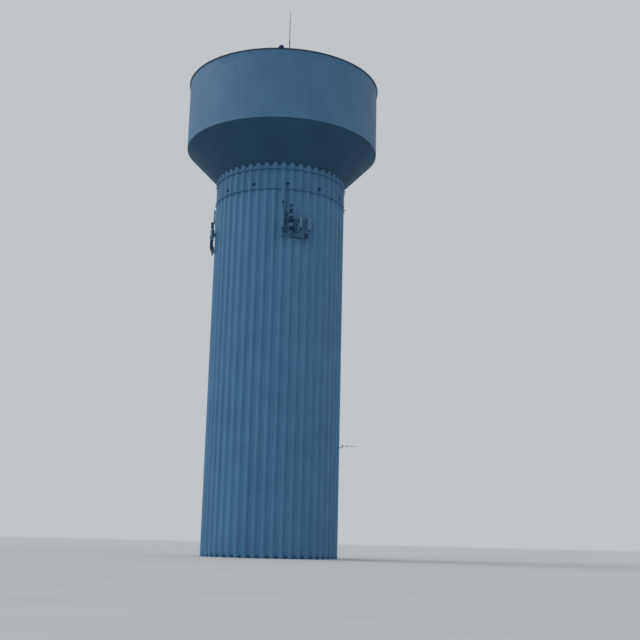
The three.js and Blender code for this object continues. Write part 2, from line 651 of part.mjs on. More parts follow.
// Cables of one sector, as one body: two bundles in front of both rails, the feeder, the junction box, and
// jumpers from every aerial and radio unit.
function sectorCables(fedFromVent) {
  const hang = -CREST_RADIUS - RAIL_OUT - RAIL_RADIUS - GAP - BUNDLE_RADIUS;
  const left = PANELS[0].post + CLAMP_PAST_POST + GAP + BUNDLE_RADIUS;
  const middle = MIDDLE_BUNDLE.x;
  const parts = [
    bar([left, hang, LEFT_BUNDLE.bottom], [left, hang, LEFT_BUNDLE.top], BUNDLE_RADIUS),
    bar([middle, hang, MIDDLE_BUNDLE.bottom], [middle, hang, MIDDLE_BUNDLE.top], BUNDLE_RADIUS),
  ];

  // Feeder: straight down the valley from a vent stub or a fitting, then out to the left bundle.
  const valley = CREST_RADIUS - FLUTE_DEPTH + COURSE_PLATE + FEEDER_OFF_VALLEY + BUNDLE_RADIUS;
  const inValley = (z, out = 0) => polar(valley + out, crestAngle(FEEDER_FLUTE) - SECTOR_CENTRE, z);
  const feederTop = fedFromVent ? VENT_HEIGHT - VENT_DIAMETER / 2 - GAP : FITTING.bottom + FITTING.height / 2;
  if (!fedFromVent) {
    const wall = CREST_RADIUS - FLUTE_DEPTH + COURSE_PLATE;
    const fitting = box(
      [-FITTING.width / 2, -wall - FITTING.out, FITTING.bottom],
      [FITTING.width / 2, -wall - FEEDER_OFF_VALLEY, FITTING.bottom + FITTING.height],
    );
    fitting.rotateZ(radians(crestAngle(FEEDER_FLUTE) - SECTOR_CENTRE));
    parts.push(fitting);
  }
  const meeting = [-930, -7160, 35430];
  parts.push(bar(inValley(FEEDER_LEAVES_WALL), inValley(feederTop), BUNDLE_RADIUS));
  parts.push(cable([
    inValley(FEEDER_LEAVES_WALL + 60),
    inValley(FEEDER_LEAVES_WALL - 200, 30),
    meeting,
    [left + 20, hang + 150, 35250],
    [left, hang, LEFT_BUNDLE.top - 60],
  ], BUNDLE_RADIUS, 10, 8));

  // Junction box in front of the right post.
  const boxBack = -CREST_RADIUS - POST_OUT - POST_RADIUS - GAP;
  const halfBox = JUNCTION_BOX.width / 2;
  const boxTop = JUNCTION_BOX.bottom + JUNCTION_BOX.height;
  const intoBox = boxBack - JUNCTION_BOX.depth / 2;
  parts.push(box(
    [JUNCTION_BOX.x - halfBox, boxBack - JUNCTION_BOX.depth, JUNCTION_BOX.bottom],
    [JUNCTION_BOX.x + halfBox, boxBack, boxTop],
  ));

  // Loops that hang between the bundles and the box.
  parts.push(cable([
    [left, hang, 33620],
    [left + 40, hang - 40, 33400],
    [(left + middle) / 2, hang - 100, 33260],
    [middle - 40, hang - 40, 33380],
    [middle, hang, 33560],
  ], LOOP_RADIUS));
  parts.push(cable([
    [middle, hang, 33420],
    [middle + 60, hang - 50, 33200],
    [430, hang - 100, 32840],
    [JUNCTION_BOX.x - halfBox - 80, hang - 110, 33050],
    [JUNCTION_BOX.x - halfBox + 40, intoBox, 33180],
  ], LOOP_RADIUS));

  // Two jumpers from the foot of each panel.
  const panelMiddle = -CREST_RADIUS - PANEL_OUT - GAP - PANEL_DEPTH / 2;
  const bends = [
    [[-1360, panelMiddle + 18, 33520], [left - 110, hang - 85, 33480], [left, hang - 20, 33640]],
    [[430, panelMiddle + 13, 33640], [120, hang - 90, 33560], [middle, hang - 20, 33700]],
    [[1440, panelMiddle + 13, 33480], [1390, panelMiddle + 33, 33380],
      [JUNCTION_BOX.x + halfBox - 30, intoBox, 33380]],
  ];
  PANELS.forEach((panel, i) => {
    for (const [x, shift] of [[panel.x - 70, 0], [panel.x + 70, 45]]) {
      const [first, second, third] = bends[i].map(([px, py, pz]) => [px, py, pz + shift]);
      parts.push(cable([
        [x, panelMiddle, panel.bottom - GAP],
        [x, panelMiddle, panel.bottom - 170],
        first,
        second,
        third,
      ], JUMPER_RADIUS));
    }
  });

  // Jumpers from under the radio units, and one from the slender aerial above.
  const under = boxBack - 20 - RADIOS[0].depth / 2;
  const [first, second, third, fourth] = RADIOS.map((unit) => unit.bottom - GAP);
  const jumpers = [
    [[-630, under, first], [-630, under, first - 140], [-840, hang - 80, 33560], [left, hang - 15, 33720]],
    [[-420, under, first], [-420, under, first - 140], [-290, hang - 80, 33590], [middle, hang - 15, 33740]],
    [[-700, under, second], [-700, under, second - 70], [-860, hang - 90, 34580], [left, hang - 15, 34700]],
    [[-350, under, second], [-350, under, second - 70], [-240, hang - 90, 34590], [middle, hang - 15, 34700]],
    [[-400, under, third], [-400, under, third - 57], [-290, under + 30, 35092],
      [-215, hang - 70, 35000], [middle, hang, 34760]],
    [[-648, under, fourth], [-648, under, fourth - 55], [-740, under + 30, 35790],
      [-870, hang - 70, 35460], [left, hang, 35000]],
  ];
  for (const route of jumpers) {
    parts.push(cable(route, JUMPER_RADIUS));
  }
  const slender = crestAngle(UPPER_PANEL.flute) - SECTOR_CENTRE;
  const slenderMiddle = CREST_RADIUS + UPPER_PANEL.out + UPPER_PANEL.depth / 2;
  parts.push(cable([
    polar(slenderMiddle, slender, UPPER_PANEL.bottom - GAP),
    polar(slenderMiddle, slender, UPPER_PANEL.bottom - 200),
    [-1210, -7360, 36230],
    [-1040, -7240, 35990],
    meeting,
  ], JUMPER_RADIUS));
  return join(parts);
}

for (const { name, flutes, fedFromVent } of SECTORS) {
  const sector = facing(SECTOR_CENTRE + flutes * FLUTE_PITCH);
  add(sector, `${name}_sector_frame`, sectorFrame(), galvanised);
  for (const panel of PANELS) {
    add(sector, `${name}_sector_${panel.name}_panel`, panelAerial(panel), radome);
  }
  add(sector, `${name}_sector_radio_units`, radioStack(), radioGrey);
  add(sector, `${name}_sector_upper_aerial`, upperAerial(), radome);
  add(sector, `${name}_sector_cables`, sectorCables(fedFromVent), cableBlack);
}

// Directional aerial: an arm from the wall, an upright stub and a level boom with cross elements.
function yagiAerial() {
  const stub = -YAGI_STUB_RADIUS_OUT;
  const parts = [
    ...wallArm(YAGI_ARM_HEIGHT, YAGI_STUB_RADIUS_OUT - CREST_RADIUS, 50, 160, 200),
    bar([0, stub, YAGI_ARM_HEIGHT - 60], [0, stub, YAGI_STUB_TOP], 30),
    bar([0, stub + 60, YAGI_BOOM_HEIGHT], [0, -YAGI_BOOM_END, YAGI_BOOM_HEIGHT], 18, 8),
  ];
  const first = YAGI_STUB_RADIUS_OUT + 150;
  const spacing = (YAGI_BOOM_END - 40 - first) / (YAGI_ELEMENTS.length - 1);
  YAGI_ELEMENTS.forEach((length, i) => {
    const y = -first - i * spacing;
    parts.push(bar([-length / 2, y, YAGI_BOOM_HEIGHT], [length / 2, y, YAGI_BOOM_HEIGHT], 9, 6));
  });
  return join(parts);
}
add(facing(crestAngle(YAGI_FLUTE)), 'side_aerial', yagiAerial(), galvanised);

tower.scale.setScalar(MODEL_SCALE);

export default tower;
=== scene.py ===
# %% [markdown]
# # A fluted-column water tower at half size
#
# The object is an elevated steel tank on one round column of upright flutes. The imported solids give every
# place and size. This lesson dresses them: each plate, ring and aerial is made again as a fine surface
# worked out with numpy, and gets the finish of the real thing.
#
# Load the fixed frame first, and keep its solids, whose boxes give places and sizes below.

# %% Load the frame
import math
from collections import namedtuple

import bpy
import numpy as np
from mathutils import Matrix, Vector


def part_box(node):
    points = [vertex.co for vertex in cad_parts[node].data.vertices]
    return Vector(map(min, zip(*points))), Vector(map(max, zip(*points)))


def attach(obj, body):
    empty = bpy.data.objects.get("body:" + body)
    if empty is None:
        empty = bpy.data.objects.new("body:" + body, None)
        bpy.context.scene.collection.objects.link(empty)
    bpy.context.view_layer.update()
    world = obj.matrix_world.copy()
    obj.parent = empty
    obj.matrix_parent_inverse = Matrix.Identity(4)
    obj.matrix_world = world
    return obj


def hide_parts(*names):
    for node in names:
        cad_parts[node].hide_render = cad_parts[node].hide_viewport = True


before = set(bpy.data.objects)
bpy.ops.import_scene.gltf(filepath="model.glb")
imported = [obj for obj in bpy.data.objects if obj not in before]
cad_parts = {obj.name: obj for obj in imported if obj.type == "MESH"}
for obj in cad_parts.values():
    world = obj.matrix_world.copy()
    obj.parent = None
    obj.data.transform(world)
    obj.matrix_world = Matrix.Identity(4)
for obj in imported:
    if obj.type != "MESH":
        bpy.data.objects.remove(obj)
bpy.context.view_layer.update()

print("pieces in the frame:", len(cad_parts))

# %% [markdown]
# Lengths of the real tower are easier to judge than those of a half-size model. So every size below is
# written in real millimetres, and one function turns it into model metres. Heights that the frame already
# holds are read from it.

# %% Sizes
MODEL_SCALE = 0.5


def real(millimetres):
    """Model metres for a length of the real tower: millimetres times the scale, over a thousand."""
    return millimetres * MODEL_SCALE / 1000


def reach(node):
    """Greatest distance of a frame node from the tower's axis: the root of x squared plus y squared."""
    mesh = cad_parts[node].data
    flat = np.empty(len(mesh.vertices) * 3, np.float32)
    mesh.vertices.foreach_get("co", flat)
    xyz = flat.reshape(-1, 3)
    return float(np.hypot(xyz[:, 0], xyz[:, 1]).max())


PLATES = 6
FLUTES = 48
FLUTE_PITCH = 360 / FLUTES
FIRST_CREST = 2.06
FIRST_PLATE_CREST = 4
CREST_RADIUS = real(7223)
FLUTE_DEPTH = real(250)
FLUTE_SQUARENESS = 0.8
GAP = real(0.6)

LOWER_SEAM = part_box("upper_course_plate_1")[0].z
UPPER_SEAM = real(40680)
SHELL_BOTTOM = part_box("tank_shell_plate_1")[0].z - GAP
SHELL_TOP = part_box("tank_shell_plate_1")[1].z
TANK_RADIUS = reach("tank_shell_plate_1")
CONE_RISE_PER_RUN = 1.03
print("tank radius", round(TANK_RADIUS, 3), "shell", round(SHELL_BOTTOM, 3), "to", round(SHELL_TOP, 3))

# %% [markdown]
# The camera comes before any piece. It stands on the ground in front of the tower, a little lower than a
# person's eye at this scale, and looks up, with a slight lean. Its place and turn were found by fitting the
# outlines of the tank and the column.

# %% Camera
CAMERA_DISTANCE = real(108432)
EYE_HEIGHT = real(1600)
LENS_MM = 56.25
SENSOR_MM = 36
CAMERA_TURN = math.radians(2.55)
CAMERA_RISE = math.radians(12.58)
CAMERA_LEAN = math.radians(-1.34)

camera_data = bpy.data.cameras.new("camera")
camera_data.lens = LENS_MM
camera_data.sensor_width = SENSOR_MM
camera_data.clip_end = 3000
camera = bpy.data.objects.new("camera", camera_data)
camera.matrix_world = (
    Matrix.Translation((0, -CAMERA_DISTANCE, EYE_HEIGHT))
    @ Matrix.Rotation(-CAMERA_TURN, 4, "Z")
    @ Matrix.Rotation(math.pi / 2 + CAMERA_RISE, 4, "X")
    @ Matrix.Rotation(-CAMERA_LEAN, 4, "Z")
)
bpy.context.scene.collection.objects.link(camera)
bpy.context.scene.camera = camera
print("camera", round(CAMERA_DISTANCE, 2), "m from the axis")

# %% [markdown]
# Three tools carry the whole model. Each makes a part: a set of points and faces held as arrays, so that
# numpy works on all of them at once. The first tool, a loft, joins one closed outline to the next along a
# way. It makes plates, pipes and rings.

# %% Parts and lofts
Part = namedtuple("Part", "points corners sizes")


def facing_out(points, corners, sizes):
    """A closed part with its faces out. The volume is the sum, over each face's fan of triangles, of
    a . (b x c) / 6. Where it is negative, every face is read backwards."""
    starts = np.repeat(np.cumsum(sizes) - sizes, sizes)
    count = np.repeat(sizes, sizes)
    step = np.arange(len(corners)) - starts
    here = np.flatnonzero((step >= 1) & (step <= count - 2))
    middle = points.mean(0)
    a, b, c = (points[corners[i]] - middle for i in (starts[here], here, here + 1))
    if np.einsum("ij,ij->", a, np.cross(b, c)) < 0:
        corners = corners[starts + count - 1 - step]
    return Part(points, corners, sizes)


def loft(rings, closed=False):
    """Skins a row of outlines, rings[station, corner]: corner c of one station joins corner c of the next.
    The two ends are closed with flat faces, or the last station joins the first."""
    rings = np.asarray(rings, float)
    stations, corners = rings.shape[:2]
    grid = np.arange(stations * corners).reshape(stations, corners)
    here, there = (grid, np.roll(grid, -1, 0)) if closed else (grid[:-1], grid[1:])
    sides = np.stack([here, there, np.roll(there, -1, 1), np.roll(here, -1, 1)], -1)
    faces, sizes = [sides.reshape(-1)], [np.full(sides.shape[0] * corners, 4)]
    if not closed:
        faces += [grid[0], grid[-1][::-1]]
        sizes.append(np.array([corners, corners]))
    return facing_out(rings.reshape(-1, 3), np.concatenate(faces), np.concatenate(sizes))


square = np.array([(0, 0), (1, 0), (1, 1), (0, 1)])
cube = loft([np.column_stack([square, np.full(4, z)]) for z in (0, 1)])
print("a cube made as a loft has", len(cube.sizes), "faces")

# %% [markdown]
# The second tool makes sheet metal: a grid of cells with a thickness, some of which may be missing. It is
# the simplest way to cut a doorway through a thin curved wall, and leaves clean straight edges.

# %% Sheet metal
def sheet_metal(outer, inner, kept):
    """A plate with openings. Its two faces are grids of points, [row, column], and kept says which cells
    are metal. Each such cell gets a face on both sides, and each of its edges that has no metal beyond
    it gets a face across the thickness."""
    rows, columns = outer.shape[:2]
    grid = np.arange(rows * columns).reshape(rows, columns)
    a, b, c, d = grid[:-1, :-1], grid[:-1, 1:], grid[1:, 1:], grid[1:, :-1]
    quads = np.stack([a, b, c, d], -1)[kept]
    faces = [quads, quads[:, ::-1] + grid.size]
    beyond = np.pad(kept, 1)
    neighbours = beyond[:-2, 1:-1], beyond[1:-1, 2:], beyond[2:, 1:-1], beyond[1:-1, :-2]
    for p, q, metal in zip((a, b, c, d), (b, c, d, a), neighbours):
        faces.append(np.stack([q, p, p + grid.size, q + grid.size], -1)[kept & ~metal])
    faces = np.concatenate(faces)
    points = np.concatenate([outer.reshape(-1, 3), inner.reshape(-1, 3)])
    return facing_out(points, faces.reshape(-1), np.full(len(faces), 4))


# %% [markdown]
# The third tool spins a profile about an upright axis, as a lathe does. Each pole is a single point with a
# fan of triangles round it, so the part is closed.

# %% Turned parts
def polar(radius, angle, z):
    """Points at a radius, an angle in degrees from the front towards +X, and a height."""
    turn = np.radians(angle)
    return np.stack(np.broadcast_arrays(radius * np.sin(turn), -radius * np.cos(turn), z), -1)


def capped(rings, bottom, top):
    """Skins closed rings, rings[ring, corner], from a single bottom point to a single top point. Fans of
    triangles join each of the two points to the ring next to it."""
    sides = rings.shape[1]
    points = np.concatenate([[bottom], rings.reshape(-1, 3), [top]])
    grid = 1 + np.arange(rings.shape[0] * sides).reshape(-1, sides)
    around = np.roll(grid, -1, 1)
    quads = np.stack([grid[:-1], around[:-1], around[1:], grid[1:]], -1)
    low = np.stack([np.zeros(sides, int), around[0], grid[0]], -1)
    high = np.stack([np.full(sides, len(points) - 1), grid[-1], around[-1]], -1)
    corners = np.concatenate([quads.reshape(-1), low.reshape(-1), high.reshape(-1)])
    sizes = np.concatenate([np.full(quads.shape[0] * sides, 4), np.full(2 * sides, 3)])
    return facing_out(points, corners, sizes)


def turned(profile, sides=48):
    """Spins a profile of (radius, z) pairs, whose two ends lie on the axis. Inner pairs become rings of
    radius * (sin, -cos)."""
    profile = np.asarray(profile, float)
    angle = np.arange(sides) * 360 / sides
    rings = polar(profile[1:-1, :1], angle[None], profile[1:-1, 1:])
    return capped(rings, [0, 0, profile[0, 1]], [0, 0, profile[-1, 1]])


def drum(radius, low, high, sides=24):
    """A plain round disc or tube end about the upright axis, between two heights."""
    return turned([(0, low), (radius, low), (radius, high), (0, high)], sides)


print("a drum has", len(drum(1, 0, 1).sizes), "faces")

# %% [markdown]
# None of the tools knows where a part ends up. Parts are joined, turned and shifted afterwards, with all
# their points at once. So every object can stay at the origin, with its place in its mesh.

# %% Joining and moving parts
def together(parts):
    """Several parts as one, with the corner numbers of each shifted past the points before it."""
    shift = np.cumsum([0] + [len(p.points) for p in parts[:-1]])
    corners = np.concatenate([p.corners + s for p, s in zip(parts, shift)])
    return Part(np.concatenate([p.points for p in parts]), corners, np.concatenate([p.sizes for p in parts]))


# A turn that lays the +Z axis of a part along -Y, out from the front of the column.
LAID_OUT = np.array([[1, 0, 0], [0, 0, -1], [0, 1, 0]])


def moved(part, turn=0, by=(0, 0, 0), tilt=np.eye(3)):
    """A part tilted by a matrix, shifted, and then turned about the tower's axis by degrees."""
    a = math.radians(turn)
    spin = np.array([[math.cos(a), math.sin(a), 0], [-math.sin(a), math.cos(a), 0], [0, 0, 1]])
    return Part((part.points @ tilt.T + np.asarray(by, float)) @ spin, part.corners, part.sizes)


# %% [markdown]
# Most small hardware is one of four shapes: a straight rod, a pipe along a bent path, a block with
# rounded edges and a hexagon bolt. A rod is a loft between two circles. A pipe carries its circle along a
# path, and turns it only as far as the path itself turns, so that it never twists.

# %% Rods and pipes
def across(direction):
    """Two unit vectors across a direction, by crossing it with whichever axis lies furthest from it."""
    d = np.asarray(direction, float) / np.linalg.norm(direction)
    u = np.cross(d, np.eye(3)[np.argmin(np.abs(d))])
    u /= np.linalg.norm(u)
    return u, np.cross(d, u)


def rod(start, end, radius, sides=16, end_radius=None):
    """A round bar: two circles, centre + r (cos t u + sin t v), across the line from start to end."""
    start, end = np.asarray(start, float), np.asarray(end, float)
    u, v = across(end - start)
    t = np.arange(sides)[:, None] * 2 * np.pi / sides
    circle = np.cos(t) * u + np.sin(t) * v
    last = radius if end_radius is None else end_radius
    return loft([start + radius * circle, end + last * circle])


def upright(x, y, low, high, radius, sides=20):
    """A round bar that stands between two heights."""
    return rod((x, y, low), (x, y, high), radius, sides)


def level(start, end, y, z, radius, sides=24):
    """A round bar that lies from side to side."""
    return rod((start, y, z), (end, y, z), radius, sides)


def carried(path):
    """Two unit vectors across a path at each of its points. The first is carried along from the start and
    kept square to the path's own direction, the second is square to both."""
    along = np.gradient(path, axis=0)
    along /= np.linalg.norm(along, axis=1, keepdims=True)
    u = across(along[0])[0]
    sides = []
    for d in along:
        u = u - d * (u @ d)
        u /= np.linalg.norm(u)
        sides.append((u, np.cross(d, u)))
    return np.array(sides)


def beside(path, distance, count):
    """Points round each point of a path, [point, place], at even turns t: the path's own point plus
    distance * (cos t u + sin t v)."""
    t = np.arange(count) * 2 * np.pi / count
    circle = np.stack([np.cos(t), np.sin(t)])
    return path[:, None] + distance * np.einsum("kc,pkx->pcx", circle, carried(path))


def pipe(path, radius, sides=10):
    """A round bar along a path."""
    return loft(beside(np.asarray(path, float), radius, sides))


print("a rod has", len(upright(0, 0, 0, 1, 0.1).sizes), "faces")

# %% [markdown]
# Cables on such a tower run in bundles, held by ties. A bundle is a ring of thin pipes that touch. Its way
# is given as a few places, and a smooth curve through them makes it hang and bend like a real one.

# %% Cable bundles and smooth paths
def bundle(path, radius, strands=6, tie_every=5):
    """Cables that run side by side along a path. Touching circles in a ring of n fit a radius R when each
    has R k / (1 + k), with k = sin(pi / n). One more fills the middle of a wide ring, and ties hold them."""
    path = np.asarray(path, float)
    k = math.sin(math.pi / strands)
    lines = beside(path, radius / (1 + k), strands)
    thin = radius * k / (1 + k)
    cables = [pipe(lines[:, strand], thin, 6) for strand in range(strands)]
    if strands > 4:
        cables.append(pipe(path, thin, 6))
    for place in range(tie_every // 2, len(path) - 1, tie_every):
        way = (path[place + 1] - path[place]) / np.linalg.norm(path[place + 1] - path[place])
        cables.append(rod(path[place] - way * real(7), path[place] + way * real(7), radius * 1.03, 12))
    return together(cables)


def smooth_path(knots, steps=6):
    """A path through knots that has no corner. Between two knots it is a cubic. Its tangent at a knot is the
    sum of the paces of the spans before and after it, less the pace from one neighbour to the other. A
    pace is a distance over its time, and the time of a span is the root of its length."""
    k = np.asarray(knots, float)
    k = np.vstack([2 * k[0] - k[1], k, 2 * k[-1] - k[-2]])
    span = np.sqrt(np.linalg.norm(np.diff(k, axis=0), axis=1))[:, None]
    pace = np.diff(k, axis=0) / span
    tangent = pace[:-1] + pace[1:] - (k[2:] - k[:-2]) / (span[:-1] + span[1:])
    a, b = k[1:-2], k[2:-1]
    leave, arrive = tangent[:-1] * span[1:-1], tangent[1:] * span[1:-1]
    t = np.linspace(0, 1, steps, endpoint=False)[:, None, None]
    square = 3 * (b - a) - 2 * leave - arrive
    cube = 2 * (a - b) + leave + arrive
    path = a + t * (leave + t * (square + t * cube))
    return np.vstack([path.transpose(1, 0, 2).reshape(-1, 3), k[-2:-1]])


print("a path through 3 places has", len(smooth_path([(0, 0, 0), (1, 0, 1), (0, 0, 2)])), "points")

# %% [markdown]
# Nothing real has a knife edge. So a block's outline is a rectangle with round corners, drawn in a little
# near both ends by a quarter circle. A bolt is a hexagon head on a round washer.

# %% Blocks and bolts
def round_outline(width, depth, radius, steps=3):
    """A rectangle with round corners about the origin, anticlockwise: four quarter circles of the
    radius, each centred one radius in from its corner."""
    t = np.radians(np.linspace(0, 90, steps + 1))
    quarters = [np.stack([np.cos(t + q), np.sin(t + q)], -1) for q in np.radians([0, 90, 180, 270])]
    x, y = width / 2 - radius, depth / 2 - radius
    centres = np.array([[x, y], [-x, y], [-x, -y], [x, -y]])
    return np.concatenate([radius * q + c for q, c in zip(quarters, centres)])


def block(low, high, radius=real(8), steps=2):
    """A box between two corners with round edges. Near each end the outline is drawn in by
    r (1 - sin t) at r (1 - cos t) from the end, a quarter circle seen from the side."""
    low, high = np.asarray(low, float), np.asarray(high, float)
    size, centre = high - low, (low + high) / 2
    r = min(radius, 0.45 * size.min())
    t = np.radians(np.linspace(0, 90, steps + 1))
    cuts = np.concatenate([r * (1 - np.sin(t)), r * (1 - np.sin(t[::-1]))])
    heights = np.concatenate([low[2] + r * (1 - np.cos(t)), high[2] - r * (1 - np.cos(t[::-1]))])
    rings = []
    for z, cut in zip(heights, cuts):
        outline = round_outline(size[0] - 2 * cut, size[1] - 2 * cut, max(r - cut, 0.2 * r), steps)
        rings.append(np.column_stack([outline + centre[:2], np.full(len(outline), z)]))
    return loft(rings)


def slab(x, half, depths, heights, edge, steps=1):
    """A block centred on x, from its half width, its two depths and its two heights. With one step, its
    edges are plain bevels."""
    return block((x - half, depths[0], heights[0]), (x + half, depths[1], heights[1]), edge, steps)


def bolt(place, out, size):
    """A hexagon head on a round washer, standing on a place and pointing out along a direction. The
    head is as high as 0.65 of the size across its flats."""
    place, out = np.asarray(place, float), np.asarray(out, float) / np.linalg.norm(out)
    seat = place + out * size * 0.14
    return together([
        rod(place, seat, size * 0.85, 12),
        rod(seat, seat + out * size * 0.65, size * 0.58, 6),
    ])


print("a block has", len(block((0, 0, 0), (1, 1, 1)).sizes), "faces")

# %% [markdown]
# A finished piece is one mesh with a material for each kind of surface on it. It is shaded smooth, and
# only edges sharper than a set angle stay crisp. It rides on the tower's one body and takes the place of
# the plain solid that it dresses.

# %% Pieces
CRISP_EDGE = math.radians(32)
made = []


def piece(name, dressed, slot, *nodes):
    """Makes one object from pairs of (part, material), and lets it stand for the frame's nodes."""
    whole = together([part for part, _ in dressed])
    mesh = bpy.data.meshes.new(name)
    mesh.vertices.add(len(whole.points))
    mesh.vertices.foreach_set("co", whole.points.astype(np.float32).ravel())
    mesh.loops.add(len(whole.corners))
    mesh.loops.foreach_set("vertex_index", whole.corners.astype(np.int32))
    mesh.polygons.add(len(whole.sizes))
    mesh.polygons.foreach_set("loop_start", (np.cumsum(whole.sizes) - whole.sizes).astype(np.int32))
    finishes = list(dict.fromkeys(material for _, material in dressed))
    for material in finishes:
        mesh.materials.append(material)
    index = [np.full(len(part.sizes), finishes.index(material)) for part, material in dressed]
    mesh.polygons.foreach_set("material_index", np.concatenate(index).astype(np.int32))
    mesh.update(calc_edges=True)
    mesh.validate()
    mesh.shade_smooth()
    mesh.set_sharp_from_angle(angle=CRISP_EDGE)
    thing = bpy.data.objects.new(name, mesh)
    bpy.context.scene.collection.objects.link(thing)
    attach(thing, "root")
    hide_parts(*nodes)
    made.append((name, int((whole.sizes - 2).sum())))


# %% [markdown]
# Every finish is a small node tree. One function turns an sRGB hex colour into the linear numbers that a
# shader wants, and one adds a node with its settings and links. Patterns read Object coordinates, so they
# stay put on the steel whatever the view.

# %% Material tools
def linear(hex_colour):
    """Linear RGBA of an sRGB hex colour: each channel c becomes ((c + 0.055) / 1.055) ** 2.4, or
    c / 12.92 where it is small."""
    srgb = np.array([int(hex_colour[i:i + 2], 16) / 255 for i in (1, 3, 5)])
    value = np.where(srgb <= 0.04045, srgb / 12.92, ((srgb + 0.055) / 1.055) ** 2.4)
    return (*value.tolist(), 1.0)


def add(tree, kind, inputs=None, **settings):
    """Adds a node. Settings are its properties. Inputs go by name or number, and each is a value, a hex
    colour or a socket to link."""
    node = tree.nodes.new(kind)
    for key, value in settings.items():
        setattr(node, key, value)
    for key, value in (inputs or {}).items():
        if isinstance(value, bpy.types.NodeSocket):
            tree.links.new(value, node.inputs[key])
        else:
            node.inputs[key].default_value = linear(value) if isinstance(value, str) else value
    return node


def new_material(name):
    """An empty material, with its node tree, its Principled shader and a socket of Object coordinates."""
    material = bpy.data.materials.new(name)
    material.use_nodes = True
    tree = material.node_tree
    return material, tree, tree.nodes["Principled BSDF"], add(tree, "ShaderNodeTexCoord").outputs["Object"]


def noise(tree, place, grain_mm, stretch=(1, 1, 1), detail=4, roughness=0.55):
    """Noise whose blobs are about grain_mm across on the real tower, drawn out along an axis by stretch."""
    scale = [1 / real(grain_mm) / s for s in stretch]
    mapped = add(tree, "ShaderNodeMapping", {"Vector": place, "Scale": scale}).outputs["Vector"]
    settings = {"Vector": mapped, "Scale": 1.0, "Detail": detail, "Roughness": roughness}
    return add(tree, "ShaderNodeTexNoise", settings).outputs["Fac"]


def spread(tree, value, low, high, to_low=0.0, to_high=1.0, smooth=False):
    """Maps a value from one range to another, held at both ends."""
    kind = "SMOOTHSTEP" if smooth else "LINEAR"
    settings = {"Value": value, "From Min": low, "From Max": high, "To Min": to_low, "To Max": to_high}
    return add(tree, "ShaderNodeMapRange", settings, interpolation_type=kind).outputs["Result"]


def times(tree, a, b):
    """Product of two values, each a number or a socket."""
    return add(tree, "ShaderNodeMath", {0: a, 1: b}, operation="MULTIPLY").outputs["Value"]


def blend(tree, share, first, second):
    """Mixes two colours, each a hex string or a socket, by a share from 0 to 1."""
    return add(tree, "ShaderNodeMix", {0: share, 6: first, 7: second}, data_type="RGBA").outputs[2]


def set_shader(tree, shader, colour, roughness, height, bump_mm, bump_strength=0.5, **fixed):
    """Joins colour, roughness and bump to a shader. A value that is the same all over is set on it."""
    for key, value in (("Base Color", colour), ("Roughness", roughness)):
        if isinstance(value, bpy.types.NodeSocket):
            tree.links.new(value, shader.inputs[key])
        else:
            shader.inputs[key].default_value = value
    for key, value in fixed.items():
        shader.inputs[key.replace("_", " ")].default_value = value
    settings = {"Height": height, "Strength": bump_strength, "Distance": real(bump_mm)}
    tree.links.new(add(tree, "ShaderNodeBump", settings).outputs["Normal"], shader.inputs["Normal"])


# %% [markdown]
# ## Paint on steel
#
# The tower wears one satin blue paint, rolled and sprayed over welded plate. From a distance it reads as a
# calm colour with three kinds of unevenness: wide soft clouds where sun has chalked it, long thin runs
# where rain has washed down, and a faint line of grime and painted shade under each lap. Thin plate is never
# quite flat either, so a very shallow wide bump lets reflections wander.

# %% Weathered paint
PAINT_IOR = 1.48
# Widths of the paint's patterns on the real tower, in millimetres.
CLOUD_MM = 3200
RUN_MM = 170
GRIME_MM = 420
SHEEN_MM = 900
SPECKLE_MM = 38
BUCKLE_MM = 1500


def weathered_paint(name, fresh, chalked, grime_and_shade, roughness, runs=0.35, laps=(), dent_mm=14, gloss=0.5):
    """Satin alkyd paint on steel plate, weathered outdoors: clouds, runs, grime with painted shade under
    laps, and shallow dents.
    """
    material, tree, shader, place = new_material(name)
    clouds = spread(tree, noise(tree, place, CLOUD_MM, detail=3), 0.35, 0.68)
    run = spread(tree, noise(tree, place, RUN_MM, stretch=(1, 1, 34), detail=5), 0.52, 0.78, 0, runs)
    colour = blend(tree, run, blend(tree, clouds, fresh, chalked), grime_and_shade)
    height = add(tree, "ShaderNodeSeparateXYZ", {"Vector": place}).outputs["Z"]
    patchy = spread(tree, noise(tree, place, GRIME_MM, stretch=(1, 1, 0.5)), 0.3, 0.62, 0.5, 1)
    # Under each lap the colour darkens towards the grime colour: partly grime, partly painted shade under the
    # ledge.
    for lap, depth_mm, strength in laps:
        below = spread(tree, height, lap - real(depth_mm), lap - real(depth_mm * 0.2), smooth=True)
        above = spread(tree, height, lap, lap + real(60), strength, 0)
        colour = blend(tree, times(tree, times(tree, below, above), patchy), colour, grime_and_shade)
    rough = spread(tree, noise(tree, place, SHEEN_MM), 0.3, 0.7, roughness - 0.05, roughness + 0.08)
    speckle = times(tree, noise(tree, place, SPECKLE_MM, detail=6, roughness=0.7), 0.04)
    buckles = noise(tree, place, BUCKLE_MM, detail=2)
    relief = add(tree, "ShaderNodeMath", {0: buckles, 1: speckle}, operation="ADD")
    fixed = {"IOR": PAINT_IOR, "Specular_IOR_Level": gloss}
    set_shader(tree, shader, colour, rough, relief.outputs[0], dent_mm, 0.35, **fixed)
    return material


# Flute paint: the mid blue of the column, with a faint band of grime and painted shade under the ledge of the
# upper course.
flute_paint = weathered_paint(
    "satin_blue_paint_on_flutes", "#4178a1", "#4a81a9", "#294f6e", 0.5,
    laps=((LOWER_SEAM, 300, 0.15),),
)
# Course paint: the same blue on the upper course, darkened as painted shade from the tank above, with a faint
# band of grime and painted shade under its upper ledge.
course_paint = weathered_paint(
    "satin_blue_paint_on_upper_course", "#3e749c", "#457da5", "#244862", 0.55,
    laps=((UPPER_SEAM, 280, 0.1),),
)
# Shell paint: the same blue, a little darker than on the column.
shell_paint = weathered_paint(
    "satin_blue_paint_on_shell", "#407197", "#48799e", "#2e5574", 0.54, runs=0.22, gloss=0.45,
)
